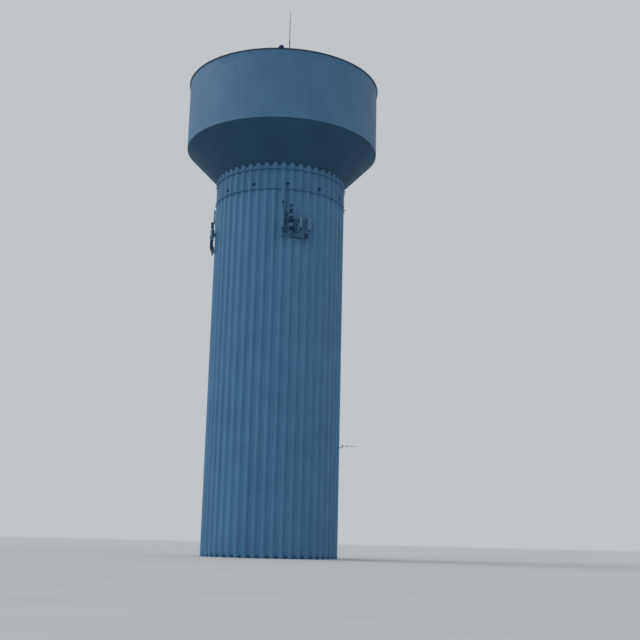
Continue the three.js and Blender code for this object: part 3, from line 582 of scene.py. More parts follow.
# Cone paint: the tank's underside, the same blue darkened to a deep blue as painted shade, since it faces
# down and never sees the sun.
cone_paint_with_painted_shade = weathered_paint(
    "satin_dark_blue_paint_on_cone", "#234b67", "#27516e", "#1a384e", 0.6, runs=0.25, gloss=0.22,
)
# Roof paint: chalked by the sun, paler and more matt than the walls.
roof_paint = weathered_paint("chalked_blue_paint_on_roof", "#668ca9", "#7898b0", "#4a6274", 0.6, runs=0.1)
# Trim paint: dark blue on the rim, the vent, the door and its frame. On the rim its dark is dirt and painted
# shade under the roof's edge.
trim_paint_and_rim_shade = weathered_paint(
    "dark_blue_trim_paint", "#2c4760", "#35506a", "#1c2c3b", 0.45, runs=0.2, dent_mm=4,
)
print("paints:", len(bpy.data.materials))

# %% [markdown]
# ## Bare hardware
#
# Pipe frames, brackets and bolts are steel dipped in molten zinc. The zinc freezes in flat crystals a
# centimetre or two across, each with its own grey, and goes dull and dark outdoors; its dark blue-grey here
# is also painted shade. Aerial covers are moulded fibreglass, painted a blue-grey close to the wall and
# chalked by the sun. Radio housings are die-cast aluminium with a blue-grey powder coat. Cable, seals and
# caps are blue-black rubber or plastic.

# %% Zinc, fibreglass, powder coat and rubber
def dipped_zinc(name, pale, dull):
    """Hot-dip galvanised steel: crystals as random cells 18 mm across, with a fine tooth on top."""
    material, tree, shader, place = new_material(name)
    scaled = add(tree, "ShaderNodeMapping", {"Vector": place, "Scale": [1 / real(18)] * 3}).outputs["Vector"]
    cells = add(tree, "ShaderNodeTexVoronoi", {"Vector": scaled, "Scale": 1.0}).outputs["Color"]
    grey = add(tree, "ShaderNodeSeparateColor", {"Color": cells}).outputs["Red"]
    stain = spread(tree, noise(tree, place, 260, stretch=(1, 1, 3)), 0.45, 0.75, 0, 0.6)
    colour = blend(tree, stain, blend(tree, grey, pale, dull), "#284559")
    rough = spread(tree, grey, 0, 1, 0.38, 0.58)
    set_shader(tree, shader, colour, rough, noise(tree, place, 6), 0.4, Metallic=0.85)
    return material


def moulded_fibreglass(name, clean, aged, dust):
    """Moulded fibreglass cover under a thin coat of paint: matt, with dust and faint runs down its face."""
    material, tree, shader, place = new_material(name)
    age = spread(tree, noise(tree, place, 500, stretch=(1, 1, 3)), 0.35, 0.7)
    run = spread(tree, noise(tree, place, 40, stretch=(1, 1, 14), detail=5), 0.55, 0.8, 0, 0.4)
    colour = blend(tree, run, blend(tree, age, clean, aged), dust)
    set_shader(tree, shader, colour, 0.62, noise(tree, place, 9), 0.5, 0.3)
    return material


def powder_coat(name, face, worn):
    """Powder-coated casting: a fine orange-peel skin about 3 mm from peak to peak."""
    material, tree, shader, place = new_material(name)
    wear = spread(tree, noise(tree, place, 240), 0.4, 0.7)
    relief = noise(tree, place, 3, detail=2)
    set_shader(tree, shader, blend(tree, wear, face, worn), 0.6, relief, 0.35, 0.4, Specular_IOR_Level=0.2)
    return material


def black_rubber(name, face, dusty):
    """Blue-black rubber or plastic: nearly matt, with patches of pale dust."""
    material, tree, shader, place = new_material(name)
    dust = spread(tree, noise(tree, place, 120, detail=6), 0.4, 0.75)
    colour = blend(tree, dust, face, dusty)
    set_shader(tree, shader, colour, 0.8, noise(tree, place, 5), 0.3, Specular_IOR_Level=0.12)
    return material


# Zinc: dull galvanised steel, darkened to a blue-grey partly by weathering and partly as painted shade.
zinc_with_painted_shade = dipped_zinc("hot_dip_galvanised_steel", "#547691", "#3f5f78")
painted_cover = moulded_fibreglass("blue_grey_painted_fibreglass", "#5a7e98", "#4e728c", "#3a566b")
slim_cover = moulded_fibreglass("mid_blue_painted_fibreglass", "#5480a0", "#4a7696", "#3b5e78")
whip_grey = moulded_fibreglass("weathered_grey_fibreglass", "#505459", "#42464c", "#2d3137")
pale_casting = powder_coat("pale_blue_grey_powder_coat", "#587d96", "#4a6d86")
dark_casting = powder_coat("dark_grey_powder_coat", "#0b3552", "#154662")
# Dark plastic: real caps, boots and ferrules, and painted shade as the dark sole under each radio unit.
dark_plastic_and_painted_shade = black_rubber("blue_black_moulded_plastic", "#093350", "#134361")
cable_jacket = black_rubber("blue_black_cable_jacket", "#09314e", "#13415f")
# Vent shade: painted shade for the dark insides of vent tubes, vent screens and the door's louvre.
vent_painted_shade = black_rubber("vent_screen_shadow", "#0e3252", "#184363")
print("materials so far:", len(bpy.data.materials))

# %% [markdown]
# ## Fluted column
#
# The real wall is steel sheet pressed into upright flutes, forty-eight round the tower. Seen from above,
# its line is a cosine wave about a circle, flattened at crest and valley. Pressing a cosine through the
# hyperbolic tangent gives just that: the larger the factor, the squarer the flute. The sheet has a
# thickness, so the inner face is set back along the wave's own normal.

# %% The fluted line
SAMPLES_PER_FLUTE = 32
FLUTES_PER_PLATE = FLUTES // PLATES


def crest_angle(flute):
    """Angle of a crest, counted from the first one right of the front."""
    return FIRST_CREST + flute * FLUTE_PITCH


def plate_angles(plate, steps):
    """Even angles across one plate, held back half a gap at both ends."""
    start = crest_angle(FIRST_PLATE_CREST + plate * FLUTES_PER_PLATE)
    spare = math.degrees(GAP / 2 / CREST_RADIUS)
    return np.linspace(start + spare, start + 360 / PLATES - spare, steps + 1)


def flute_line(angle, outside=0.0):
    """Plan of the fluted wall. Radius = crest - depth / 2 * (1 - tanh(k cos(48 a)) / tanh k), then every
    point is moved outside the wave along its normal, which is its tangent turned by a right angle."""
    def wave(a):
        pressed = np.tanh(FLUTE_SQUARENESS * np.cos(np.radians(a - FIRST_CREST) * FLUTES))
        inward = FLUTE_DEPTH / 2 * (1 - pressed / math.tanh(FLUTE_SQUARENESS))
        return polar(CREST_RADIUS - inward, a, 0)[:, :2]

    step = 0.01
    tangent = wave(angle + step) - wave(angle - step)
    tangent /= np.linalg.norm(tangent, axis=-1, keepdims=True)
    return wave(angle) + outside * np.stack([tangent[:, 1], -tangent[:, 0]], -1)


def lifted(line, heights):
    """A plan line at several heights, as a grid [height, point]."""
    heights = np.asarray(heights, float)[:, None]
    return np.stack(np.broadcast_arrays(line[None, :, 0], line[None, :, 1], heights), -1)


# %% [markdown]
# The column stands on a flat flange with a small bevel on its outer edge. A ring is a loft that closes on
# itself: its section is carried once round the tower's axis.

# %% Base flange
FLANGE_INNER = real(6963)
FLANGE_OUTER = real(7300)
FLANGE_THICKNESS = real(30)
FLANGE_BEVEL = real(4)
ROUND_STEPS = 384


def hoop(section):
    """A full ring: a closed section of (radius, z) pairs carried once round the tower's axis."""
    section = np.asarray(section, float)
    angle = FIRST_CREST + np.arange(ROUND_STEPS)[:, None] * 360 / ROUND_STEPS
    return loft(polar(section[None, :, 0], angle, section[None, :, 1]), closed=True)


flange = hoop([
    (FLANGE_INNER, 0), (FLANGE_OUTER, 0), (FLANGE_OUTER, FLANGE_THICKNESS - FLANGE_BEVEL),
    (FLANGE_OUTER - FLANGE_BEVEL, FLANGE_THICKNESS), (FLANGE_INNER, FLANGE_THICKNESS),
])
piece("base_ring_flange", [(flange, flute_paint)], "column_paint", "base_flange")
print("the flange has", made[-1][1], "triangles")

# %% [markdown]
# In every valley an anchor holds the column down: a bolt through a small raised plate on two gussets. Such
# columns are held to their foundation ring in that way, because a raised plate lets the long bolt stretch.

# %% Anchors
CHAIR_INNER = real(6967)
CHAIR_OUTER = real(7200)
CHAIR_HALF = real(105)
CHAIR_TOP = real(258)
CHAIR_PLATE = real(28)
GUSSET_PLACE = real(80)
GUSSET_HALF = real(8)
ANCHOR_RADIUS = real(7095)
ANCHOR_NUT = real(66)


def anchor_chair(angle):
    """A raised plate on two gussets, turned to a valley's angle."""
    bed = CHAIR_TOP - CHAIR_PLATE
    parts = [slab(0, CHAIR_HALF, (-CHAIR_OUTER, -CHAIR_INNER), (bed, CHAIR_TOP), real(4))]
    depths, heights = (-CHAIR_OUTER + real(10), -CHAIR_INNER), (FLANGE_THICKNESS + real(1), bed + real(5))
    for x in (-GUSSET_PLACE, GUSSET_PLACE):
        parts.append(slab(x, GUSSET_HALF, depths, heights, real(3)))
    return moved(together(parts), angle)


def anchor_bolt(angle):
    """The threaded rod and nut that stand up through a chair."""
    foot = np.array([0, -ANCHOR_RADIUS, CHAIR_TOP])
    thread = rod(foot, foot + [0, 0, real(112)], real(19), 10)
    return moved(together([bolt(foot, (0, 0, 1), ANCHOR_NUT), thread]), angle)


print("an anchor has", len(anchor_chair(0).sizes) + len(anchor_bolt(0).sizes), "faces")

# %% [markdown]
# Each column plate runs from the flange to just behind the lap of the upper course, and one has the doorway
# cut through it. The wall is a grid: along the flutes one way, and at four heights the other way.

# %% Column plates
SHAFT_PLATE = real(10)
SEAM_LAP = real(60)
DOOR_ANGLE = crest_angle(24)
DOOR_HALF = real(910 / 2)
DOOR_JAMB = real(75)
DOOR_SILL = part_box("door_frame")[0].z
DOOR_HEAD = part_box("door_frame")[1].z


def off_door(angle):
    """Sideways distance of an angle on the wall from the middle of the door, or a large one at the front."""
    turn = np.radians(angle - DOOR_ANGLE)
    return np.where(np.cos(turn) > 0, np.abs(np.sin(turn)) * CREST_RADIUS, TANK_RADIUS)


def column_plate(plate):
    """Wall and anchors of one plate. Cells of the wall that lie within the doorway are left out."""
    angles = plate_angles(plate, FLUTES_PER_PLATE * SAMPLES_PER_FLUTE)
    heights = [FLANGE_THICKNESS + GAP, DOOR_SILL - real(4), DOOR_HEAD + real(4), LOWER_SEAM + SEAM_LAP]
    middle = (angles[1:] + angles[:-1]) / 2
    kept = np.ones((3, len(middle)), bool)
    kept[1] = off_door(middle) > DOOR_HALF + DOOR_JAMB + real(8)
    faces = [lifted(flute_line(angles, outside), heights) for outside in (0, -SHAFT_PLATE)]
    valleys = crest_angle(FIRST_PLATE_CREST + plate * FLUTES_PER_PLATE + np.arange(FLUTES_PER_PLATE) + 0.5)
    valleys = valleys[off_door(valleys) > DOOR_HALF + DOOR_JAMB + real(160)]
    metal = together([sheet_metal(*faces, kept), *(anchor_chair(a) for a in valleys)])
    return [(metal, flute_paint), (together([anchor_bolt(a) for a in valleys]), zinc_with_painted_shade)]


for plate in range(PLATES):
    number = plate + 1
    piece(f"fluted_column_plate_{number}", column_plate(plate), "column_paint", f"column_plate_{number}")
print("a column plate has", made[-1][1], "triangles")

# %% [markdown]
# The upper course is a second, slightly larger skin. Its lower edge laps over the column, and its top is
# cut to the cone, so each crest ends in a tip that stands higher than the valleys beside it. At the foot of
# each lap, a drip ledge follows the flutes and throws the rain clear. Against the sky, the ledges show as
# short ticks at both edges of the column. Such a plate has the same section all the way, apart from its
# top, so one loft along the flutes makes it.

# %% Upper course with its drip ledges
COURSE_PLATE = real(16)
LEDGE = real(125)
LEDGE_HEIGHT = real(30)


def cone_underside(line):
    """Height of the cone above a plan point: it falls by 1.03 for each step in from the shell."""
    return SHELL_BOTTOM - (TANK_RADIUS - np.hypot(line[:, 0], line[:, 1])) * CONE_RISE_PER_RUN


def course_plate(angles):
    """A loft of the section along the flutes. Each corner has its distance outside the flutes and its
    height, or no height where it ends at the cone."""
    corners = []
    for seam, face, end in ((LOWER_SEAM, COURSE_PLATE, UPPER_SEAM), (UPPER_SEAM, 2 * COURSE_PLATE, None)):
        corners += [(face + LEDGE, seam), (face + LEDGE, seam + LEDGE_HEIGHT)]
        corners += [(face, seam + LEDGE_HEIGHT * 1.4), (face, end)]
    corners += [(GAP, None), (GAP, LOWER_SEAM)]
    seat = GAP * math.hypot(1, CONE_RISE_PER_RUN)
    columns = []
    for outside, z in corners:
        line = flute_line(angles, outside)
        height = cone_underside(line) - seat if z is None else np.full(len(line), z)
        columns.append(np.column_stack([line, height]))
    return loft(np.stack(columns, 1))


print("the course starts", round(LOWER_SEAM, 3), "m up, and its upper ledge is at", UPPER_SEAM, "m")

# %% [markdown]
# Round vent stubs stand in every fourth valley of the upper course, and let the damp air inside the column
# out. Each is a steel tube with a screen. From far away they are dark dots, so the depth of the tube and
# the dark disc in it, painted shade for the tube's inside, matter more than the bars across its mouth.

# %% Wall vents, and the course plates that carry them
VENT_HEIGHT = real(39080)
VENT_RADIUS = real(140)
VENT_PROUD = real(220)
SCREEN_WIRE = real(3)
VALLEY_FACE = CREST_RADIUS - FLUTE_DEPTH + COURSE_PLATE


def wall_vent(angle):
    """A round stub that stands out of a valley as far as the crests: a steel tube turned as a deep cup, a
    dark disc a hand's depth inside it as painted shade of the tube's inside, and bars across its mouth."""
    r, inside, bed = VENT_RADIUS, VENT_RADIUS - real(12), VENT_PROUD - real(110)
    cup = turned([(0, 0), (r, 0), (r, VENT_PROUD), (inside, VENT_PROUD), (inside, bed), (0, bed)], 32)
    # The dark disc is painted shade for the inside of the tube.
    disc = drum(inside * 0.99, bed - real(5), bed + real(20))
    behind, front = VENT_PROUD - real(20), VENT_PROUD - real(14)
    bars = []
    for offset in np.linspace(-0.72, 0.72, 7) * inside:
        half = math.sqrt(inside ** 2 - offset ** 2)
        bars.append(rod((offset, -half, behind), (offset, half, behind), SCREEN_WIRE, 6))
        bars.append(rod((-half, offset, front), (half, offset, front), SCREEN_WIRE, 6))
    place = (0, -VALLEY_FACE, VENT_HEIGHT)
    parts = (moved(part, angle, place, LAID_OUT) for part in (cup, disc, together(bars)))
    return list(zip(parts, (course_paint, vent_painted_shade, dark_plastic_and_painted_shade)))


for plate in range(PLATES):
    number = plate + 1
    dressed = [(course_plate(plate_angles(plate, FLUTES_PER_PLATE * SAMPLES_PER_FLUTE)), course_paint)]
    for flute in (0, 4):
        dressed += wall_vent(crest_angle(FIRST_PLATE_CREST + plate * FLUTES_PER_PLATE + flute + 0.5))
    piece(f"upper_course_{number}", dressed, "column_paint", f"upper_course_plate_{number}")
print("upper course", number, "has", made[-1][1], "triangles")

# %% [markdown]
# ## Tank
#
# Cone and shell are smooth plates rolled to a circle and welded edge to edge. A weld stands a few
# millimetres proud, so each section carries a low round bead where two courses meet, and upright beads
# run across each course, staggered like bricks, because welders never let four corners meet.

# %% Rolled plates and their welds
CONE_INNER_RADIUS = real(6800)
CONE_PLATE = real(16)
SHELL_PLATE = real(12)
BEAD_HALF = real(11)
BEAD_RISE = real(3.5)
CONE_BEAD = 0.56
SHELL_BEADS = (1 / 3, 2 / 3)
PLATE_STEPS = 64


def between(low, high, share):
    """The point at a share of the way from one (radius, z) pair to another."""
    return np.asarray(low) + (np.asarray(high) - np.asarray(low)) * share


def beaded(start, end, shares):
    """A straight section line with low round beads on its right-hand side, at shares of its length. A
    bead is a parabola, rise * (1 - t squared) for t from -1 to 1 across it. A point of flat wall on each
    side of it keeps its shading off the plate."""
    start, end = np.asarray(start, float), np.asarray(end, float)
    along = (end - start) / np.linalg.norm(end - start)
    out = np.array([along[1], -along[0]])
    t = np.array([-1.5, -1.2, -1, -0.6, -0.2, 0.2, 0.6, 1, 1.2, 1.5])[:, None]
    bulge = out * BEAD_RISE * np.maximum(0, 1 - t ** 2)
    beads = [between(start, end, share) + along * t * BEAD_HALF + bulge for share in shares]
    return np.concatenate([start[None], *beads, end[None]])


def rolled_plate(section, plate):
    """One plate of a round wall: its section of (radius, z) points carried along even angles."""
    return loft(polar(section[None, :, 0], plate_angles(plate, PLATE_STEPS)[:, None], section[None, :, 1]))


def weld_up(low, high, angle):
    """A weld bead up a wall, from one (radius, z) point to another, as a half-round strip."""
    along = (high - low) / np.linalg.norm(high - low)
    out = np.array([along[1], -along[0]])
    t = np.radians(np.linspace(0, 180, 7))
    side, rise = BEAD_HALF * np.cos(t), BEAD_RISE * np.sin(t) - real(1)
    rings = [np.stack([side, -(r + out[0] * rise), z + out[1] * rise], -1) for r, z in (low, high)]
    return moved(loft(rings), angle)


print("a weld bead stands", BEAD_RISE, "m proud")

# %% [markdown]
# The cone rises outwards at a little over 45 degrees, and the shell stands on its rim. Each plate is its
# wall's section carried over a sixth of a turn, with the upright welds of its courses on it.

# %% Cone and shell
cone_depth = CONE_PLATE * math.hypot(1, CONE_RISE_PER_RUN)
cone_foot = SHELL_BOTTOM - (TANK_RADIUS - CONE_INNER_RADIUS) * CONE_RISE_PER_RUN
shell_foot = SHELL_BOTTOM + GAP
cone_low, cone_high = (CONE_INNER_RADIUS, cone_foot), (TANK_RADIUS, SHELL_BOTTOM)
shell_low, shell_high = (TANK_RADIUS, shell_foot), (TANK_RADIUS, SHELL_TOP)
cone_inside = [
    (TANK_RADIUS - cone_depth / CONE_RISE_PER_RUN, SHELL_BOTTOM), (CONE_INNER_RADIUS, cone_foot + cone_depth),
]
shell_inside = [(TANK_RADIUS - SHELL_PLATE, SHELL_TOP), (TANK_RADIUS - SHELL_PLATE, shell_foot)]
cone_section = np.concatenate([beaded(cone_low, cone_high, [CONE_BEAD]), cone_inside])
shell_section = np.concatenate([beaded(shell_low, shell_high, SHELL_BEADS), shell_inside])
# Each course has the shares of the wall where it starts and ends, and the angle of its first upright weld.
cone_courses = ((0.12, CONE_BEAD, 15), (CONE_BEAD, 0.998, 4))
shell_courses = ((0, 1 / 3, 5), (1 / 3, 2 / 3, 20), (2 / 3, 1, 12))
walls = {
    "cone": (cone_section, cone_low, cone_high, cone_courses, cone_paint_with_painted_shade, "cone_plate"),
    "shell": (shell_section, shell_low, shell_high, shell_courses, shell_paint, "tank_shell_plate"),
}
for kind, (section, low, high, courses, paint, node) in walls.items():
    for plate in range(PLATES):
        start = crest_angle(FIRST_PLATE_CREST + plate * FLUTES_PER_PLATE)
        welds = [
            weld_up(between(low, high, foot), between(low, high, head), start + shift + 30 * k)
            for foot, head, shift in courses for k in range(2)
        ]
        metal = together([rolled_plate(section, plate), *welds])
        piece(f"tank_{kind}_{plate + 1}", [(metal, paint)], f"{kind}_paint", f"{node}_{plate + 1}")
print("shell plate", plate + 1, "has", made[-1][1], "triangles")

# %% [markdown]
# The ring under the roof's edge is a rolled steel angle. It shows as one dark line round the top of the
# tank: its paint is darkened with dirt and with painted shade of its underside. Its section is an L with a
# small round in the corner, carried once round the tower.

# %% Rim ring
RIM_WIDTH = real(125)
RIM_HEIGHT = real(110)
RIM_PLATE = real(14)

rim_inner = TANK_RADIUS + GAP
rim_outer = TANK_RADIUS + RIM_WIDTH
leg, bend, edge = rim_inner + RIM_PLATE, real(8), real(3)
under = SHELL_TOP - RIM_PLATE
rim_section = [
    (rim_inner, SHELL_TOP - RIM_HEIGHT), (leg, SHELL_TOP - RIM_HEIGHT),
    (leg, under - bend), (leg + bend * 0.3, under - bend * 0.3), (leg + bend, under),
    (rim_outer - edge, under), (rim_outer, under + edge), (rim_outer, SHELL_TOP - edge),
    (rim_outer - edge, SHELL_TOP), (rim_inner, SHELL_TOP),
]
piece("rim_angle_ring", [(hoop(rim_section), trim_paint_and_rim_shade)], "rim_paint", "roof_edge_ring")
print("the rim is", round(2 * rim_outer, 3), "m across")

# %% [markdown]
# The roof is a shallow dome of plates that lap like shingles, each a little above its neighbour, so rain
# runs over the joints and not into them. The dome's height at a place is a parabola in the radius, plus the
# lap of its ring and the slow climb of its own plate. A flat round plate covers the middle.

# %% Lapped roof
ROOF_RISE = real(1300)
ROOF_PLATE = real(10)
ROOF_LAP = real(7)
ROOF_PLATES = 24
ROOF_COURSES = (1.0, 0.66, 0.33)


def roof_height(radius):
    """Height of the plain dome at a distance from the axis."""
    return SHELL_TOP + GAP + ROOF_RISE * (1 - (radius / TANK_RADIUS) ** 2)


def lapped_roof():
    """The roof's skin as rings of points, up its inside and down its outside. Each course of plates lies
    one lap above the course outside it, and each plate climbs by one lap along its width."""
    edges = np.array(ROOF_COURSES) * TANK_RADIUS
    share = np.tile(np.linspace(0, 1, 8), ROOF_PLATES)
    turn = np.repeat(np.arange(ROOF_PLATES), 8) + share * 0.997
    angle = FIRST_CREST + turn * 360 / ROOF_PLATES
    rings = list(polar(edges[:, None] - real(1), angle, roof_height(edges)[:, None])[::-1])
    for course, (outer, inner) in enumerate(zip(edges, [*edges[1:], real(260)])):
        for r in np.linspace(outer, inner + real(14), 5):
            rings.append(polar(r, angle, roof_height(r) + ROOF_PLATE + ROOF_LAP * (course + share)))
    return capped(np.array(rings), [0, 0, roof_height(0)], [0, 0, roof_height(0) + ROOF_PLATE + 3 * ROOF_LAP])


crown_radius, crown_top = real(420), real(16)
crown = turned([
    (0, 0), (crown_radius, 0), (crown_radius, crown_top * 0.75), (crown_radius * 0.96, crown_top),
    (0, crown_top),
], 64)
crown = moved(crown, by=(0, 0, roof_height(0) + ROOF_PLATE + 2 * ROOF_LAP))
piece("lapped_roof", [(together([lapped_roof(), crown]), roof_paint)], "roof_paint", "tank_roof")
print("roof has", made[-1][1], "triangles")

# %% [markdown]
# The tank's floor is a second shallow dome, which closes the cone at the top of the column. A dome carries
# the water's weight down to the column's wall as pure push, so thin plate is enough for it.

# %% Tank floor
FLOOR_RISE = real(620)
FLOOR_PLATE = real(12)

shares = np.linspace(0, 1, 13)
floor_under = np.stack([(CONE_INNER_RADIUS - GAP) * shares, cone_foot + FLOOR_RISE * (1 - shares ** 2)], -1)
floor_dome = turned(np.concatenate([floor_under, floor_under[::-1] + [0, FLOOR_PLATE]]), ROUND_STEPS // 2)
piece("domed_floor", [(floor_dome, roof_paint)], "roof_paint", "tank_floor")
print("floor has", made[-1][1], "triangles")

# %% [markdown]
# ## On the roof
#
# Near the edge stands a mushroom vent, which lets air in as the tank drains. Its cap is one turned profile
# with a rolled rim, over a screened throat with ribs, whose screen is a dark drum of painted shade for the
# throat behind it.

# %% Roof vent
CAP_RISE = real(313)
THROAT_SHARE = 0.66
vent_low, vent_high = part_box("roof_vent")
vent_place = (*((vent_low + vent_high) / 2).xy, 0)
vent_radius = (vent_high.x - vent_low.x) / 2
cap_rim = vent_high.z - CAP_RISE
vent_foot = roof_height(math.hypot(*vent_place[:2])) - real(20)
throat = vent_radius * THROAT_SHARE


def dome_profile(radius, rim, top, steps=10):
    """Quarter of an ellipse from the rim to the top of a cap."""
    t = np.radians(np.linspace(0, 90, steps))
    return np.stack([radius * np.cos(t), rim + (top - rim) * np.sin(t)], -1)


cap = turned([
    (0, cap_rim + real(20)), (vent_radius - real(24), cap_rim + real(14)), (vent_radius - real(14), cap_rim),
    (vent_radius, cap_rim + real(6)), *dome_profile(vent_radius, cap_rim + real(26), vent_high.z),
], 40)
skirt = turned([
    (0, vent_foot), (throat + real(60), vent_foot), (throat + real(60), vent_foot + real(44)),
    (throat, vent_foot + real(52)), (throat, cap_rim - real(70)), (0, cap_rim - real(70)),
], 40)
screen_low, screen_high = cap_rim - real(75), cap_rim + real(22)
screen = drum(throat * 0.93, screen_low, screen_high, 40)
ribs = [
    moved(slab(0, real(9), (-throat, -throat * 0.9), (screen_low, screen_high), real(2)), turn)
    for turn in np.arange(12) * 30
]
dressed = [(together([cap, skirt, *ribs]), trim_paint_and_rim_shade), (screen, vent_painted_shade)]
dressed = [(moved(part, by=vent_place), finish) for part, finish in dressed]
piece("mushroom_vent", dressed, "rim_paint", "roof_vent")
print("vent is", round(2 * vent_radius, 3), "m wide")

# %% [markdown]
# Beside the vent, a whip aerial stands on a galvanised pipe with a bolted foot and four gussets. The whip
# is a tapering rod in three lengths, joined by dark ferrules and held to its pipe by two clamps.

# %% Whip aerial
mast_low, mast_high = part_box("whip_mast")
mast_x, mast_y = ((mast_low + mast_high) / 2).xy
MAST_JOINT = real(54160)
MAST_PIPE = real(48)
FERRULE_PLACES = real(1000), real(1950)
mast_foot = roof_height(math.hypot(mast_x, mast_y)) + ROOF_PLATE + ROOF_LAP
pipe_length, whip_length = MAST_JOINT - mast_foot, mast_high.z - MAST_JOINT


def clamp_band(z, radius):
    """A split collar round the mast with two bolts that draw it together."""
    ear, half, width, bolt_place = radius + real(34), real(14), real(46), radius + real(16)
    ears = slab(0, ear, (-half, half), (z, z + width), real(3))
    bolts = [bolt((x, -half, z + width / 2), (0, -1, 0), real(17)) for x in (-bolt_place, bolt_place)]
    return together([drum(radius, z, z + width), ears, *bolts])


foot_plate = real(14)
pipe_end = pipe_length + real(10)
mast_steel = [
    drum(real(165), -real(12), foot_plate, 28),
    turned([(0, 0), (MAST_PIPE, 0), (MAST_PIPE, pipe_length), (real(38), pipe_end), (0, pipe_end)], 24),
    clamp_band(pipe_length - real(380), MAST_PIPE + real(9)),
    clamp_band(pipe_length - real(90), MAST_PIPE + real(9)),
]
foot_bolt = bolt((0, -real(132), foot_plate), (0, 0, 1), real(30))
gusset = slab(0, real(5), (-real(112), -real(40)), (real(12), real(96)), real(2))
for turn in (45, 135, 225, 315):
    mast_steel += [moved(foot_bolt, turn), moved(gusset, turn)]
whip = turned([
    (0, 0), (real(33), 0), (real(33), real(240)), (real(26), real(270)),
    (real(20), whip_length - real(30)), (real(14), whip_length - real(8)), (0, whip_length),
], 20)
ferrules = together([drum(real(40), z, z + real(140), 20) for z in FERRULE_PLACES])
dressed = [
    (moved(part, by=(mast_x, mast_y, foot)), finish)
    for part, foot, finish in (
        (together(mast_steel), mast_foot, zinc_with_painted_shade),
        (whip, MAST_JOINT, whip_grey),
        (ferrules, MAST_JOINT, dark_plastic_and_painted_shade),
    )
]
piece("whip_aerial", dressed, "galvanised", "whip_mast")
print("whip is", round(whip_length, 3), "m long")

# %% [markdown]
# Further back, a square hatch leads inside. A raised curb keeps rain out, and a lid laps over it, with two
# hinges and a bent bar as a handle.

# %% Roof hatch
hatch_low, hatch_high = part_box("roof_hatch")
hatch_x = (hatch_low.x + hatch_high.x) / 2
lid_z = hatch_high.z - real(80)
curb = block(
    (hatch_low.x + real(40), hatch_low.y + real(40), hatch_low.z - real(30)),
    (hatch_high.x - real(40), hatch_high.y - real(40), lid_z + real(10)), real(6),
)
lid = block((hatch_low.x, hatch_low.y, lid_z), hatch_high, real(12), 3)
fittings = []
for x in (hatch_x - real(280), hatch_x + real(280)):
    pin = np.array([x, hatch_high.y + real(12), lid_z + real(40)])
    fittings.append(rod(pin - [real(60), 0, 0], pin + [real(60), 0, 0], real(15), 14))
    fittings.append(block(pin - [real(50), real(42), real(30)], pin + [real(50), 0, -real(10)], real(3), 1))
grip = [(-110, -2, 30), (-105, -55, 38), (105, -55, 38), (110, -2, 30)]
grip = smooth_path([(hatch_x + real(x), hatch_low.y + real(y), lid_z + real(z)) for x, y, z in grip])
piece(
    "access_hatch",
    [(together([curb, lid]), roof_paint), (together([*fittings, pipe(grip, real(11))]), zinc_with_painted_shade)],
    "roof_paint", "roof_hatch",
)
print("roof pieces:", [name for name, _ in made[-3:]])

# %% [markdown]
# ## Door at the back
#
# A steel door closes the column at its foot. Its frame is one section mitred at four corners, so it is a
# loft through four stations that closes on itself.

# %% Door frame
FRAME_INNER = real(6840)
FRAME_OUTER = real(7300)
LEAF_FRONT = real(7285)
LEAF = real(45)
leaf_low = DOOR_SILL + DOOR_JAMB
leaf_high = DOOR_HEAD - DOOR_JAMB


def door_frame():
    """A frame section of (outwards, depth) pairs, set out from each corner of the opening in turn."""
    e = real(5)
    section = [
        (0, FRAME_INNER), (0, FRAME_OUTER - e), (e, FRAME_OUTER),
        (DOOR_JAMB - e, FRAME_OUTER), (DOOR_JAMB, FRAME_OUTER - e), (DOOR_JAMB, FRAME_INNER),
    ]
    corners = ((-1, leaf_low, -1), (1, leaf_low, -1), (1, leaf_high, 1), (-1, leaf_high, 1))
    stations = [
        [(x * (DOOR_HALF + out), -y, z + up * out) for out, y in section] for x, z, up in corners
    ]
    return loft(stations, closed=True)


piece("door_surround", [(moved(door_frame(), DOOR_ANGLE), trim_paint_and_rim_shade)], "rim_paint", "door_frame")
print("the doorway is", round(2 * DOOR_HALF, 3), "m wide on the model")

# %% [markdown]
# The leaf is a flush steel door with a louvre low down, three hinges and a lever handle. The louvre's slats
# slope down and out, which sheds rain and lets air in, and a dark plate behind them is painted shade that
# stands for the dark inside.

# %% Door leaf with its louvre, hinges and lever
LOUVRE_HALF = real(250)
LOUVRE_BAR = real(24)
LEVER_HEIGHT = real(1020)
louvre_low, louvre_high = leaf_low + real(180), leaf_low + real(560)
clear = real(3)
heights = leaf_low + clear, leaf_high - clear
leaf = [slab(0, DOOR_HALF - clear, (-LEAF_FRONT, -LEAF_FRONT + LEAF), heights, real(8), 2)]
for x0, z0, x1, z1 in (
    (-LOUVRE_HALF, louvre_low, LOUVRE_HALF, louvre_low + LOUVRE_BAR),
    (-LOUVRE_HALF, louvre_high - LOUVRE_BAR, LOUVRE_HALF, louvre_high),
    (-LOUVRE_HALF, louvre_low, -LOUVRE_HALF + LOUVRE_BAR, louvre_high),
    (LOUVRE_HALF - LOUVRE_BAR, louvre_low, LOUVRE_HALF, louvre_high),
):
    leaf.append(block((x0, -FRAME_OUTER + real(2), z0), (x1, -LEAF_FRONT + real(4), z1), real(3), 1))
slat = np.array([(-1, 0), (10, -16), (13, -14), (2, 4)])
half = LOUVRE_HALF - real(20)
for z in np.arange(louvre_low + real(50), louvre_high - real(40), real(38)):
    ends = [[(x, -LEAF_FRONT - real(y), z + real(rise)) for y, rise in slat] for x in (-half, half)]
    leaf.append(loft(ends))
bed = LOUVRE_HALF - real(10)
depths = -LEAF_FRONT - real(1), -LEAF_FRONT + real(4)
heights = louvre_low + real(10), louvre_high - real(10)
backing = slab(0, bed, depths, heights, real(1))
hinge = np.array([-DOOR_HALF + real(2), -FRAME_OUTER + real(1), 0])
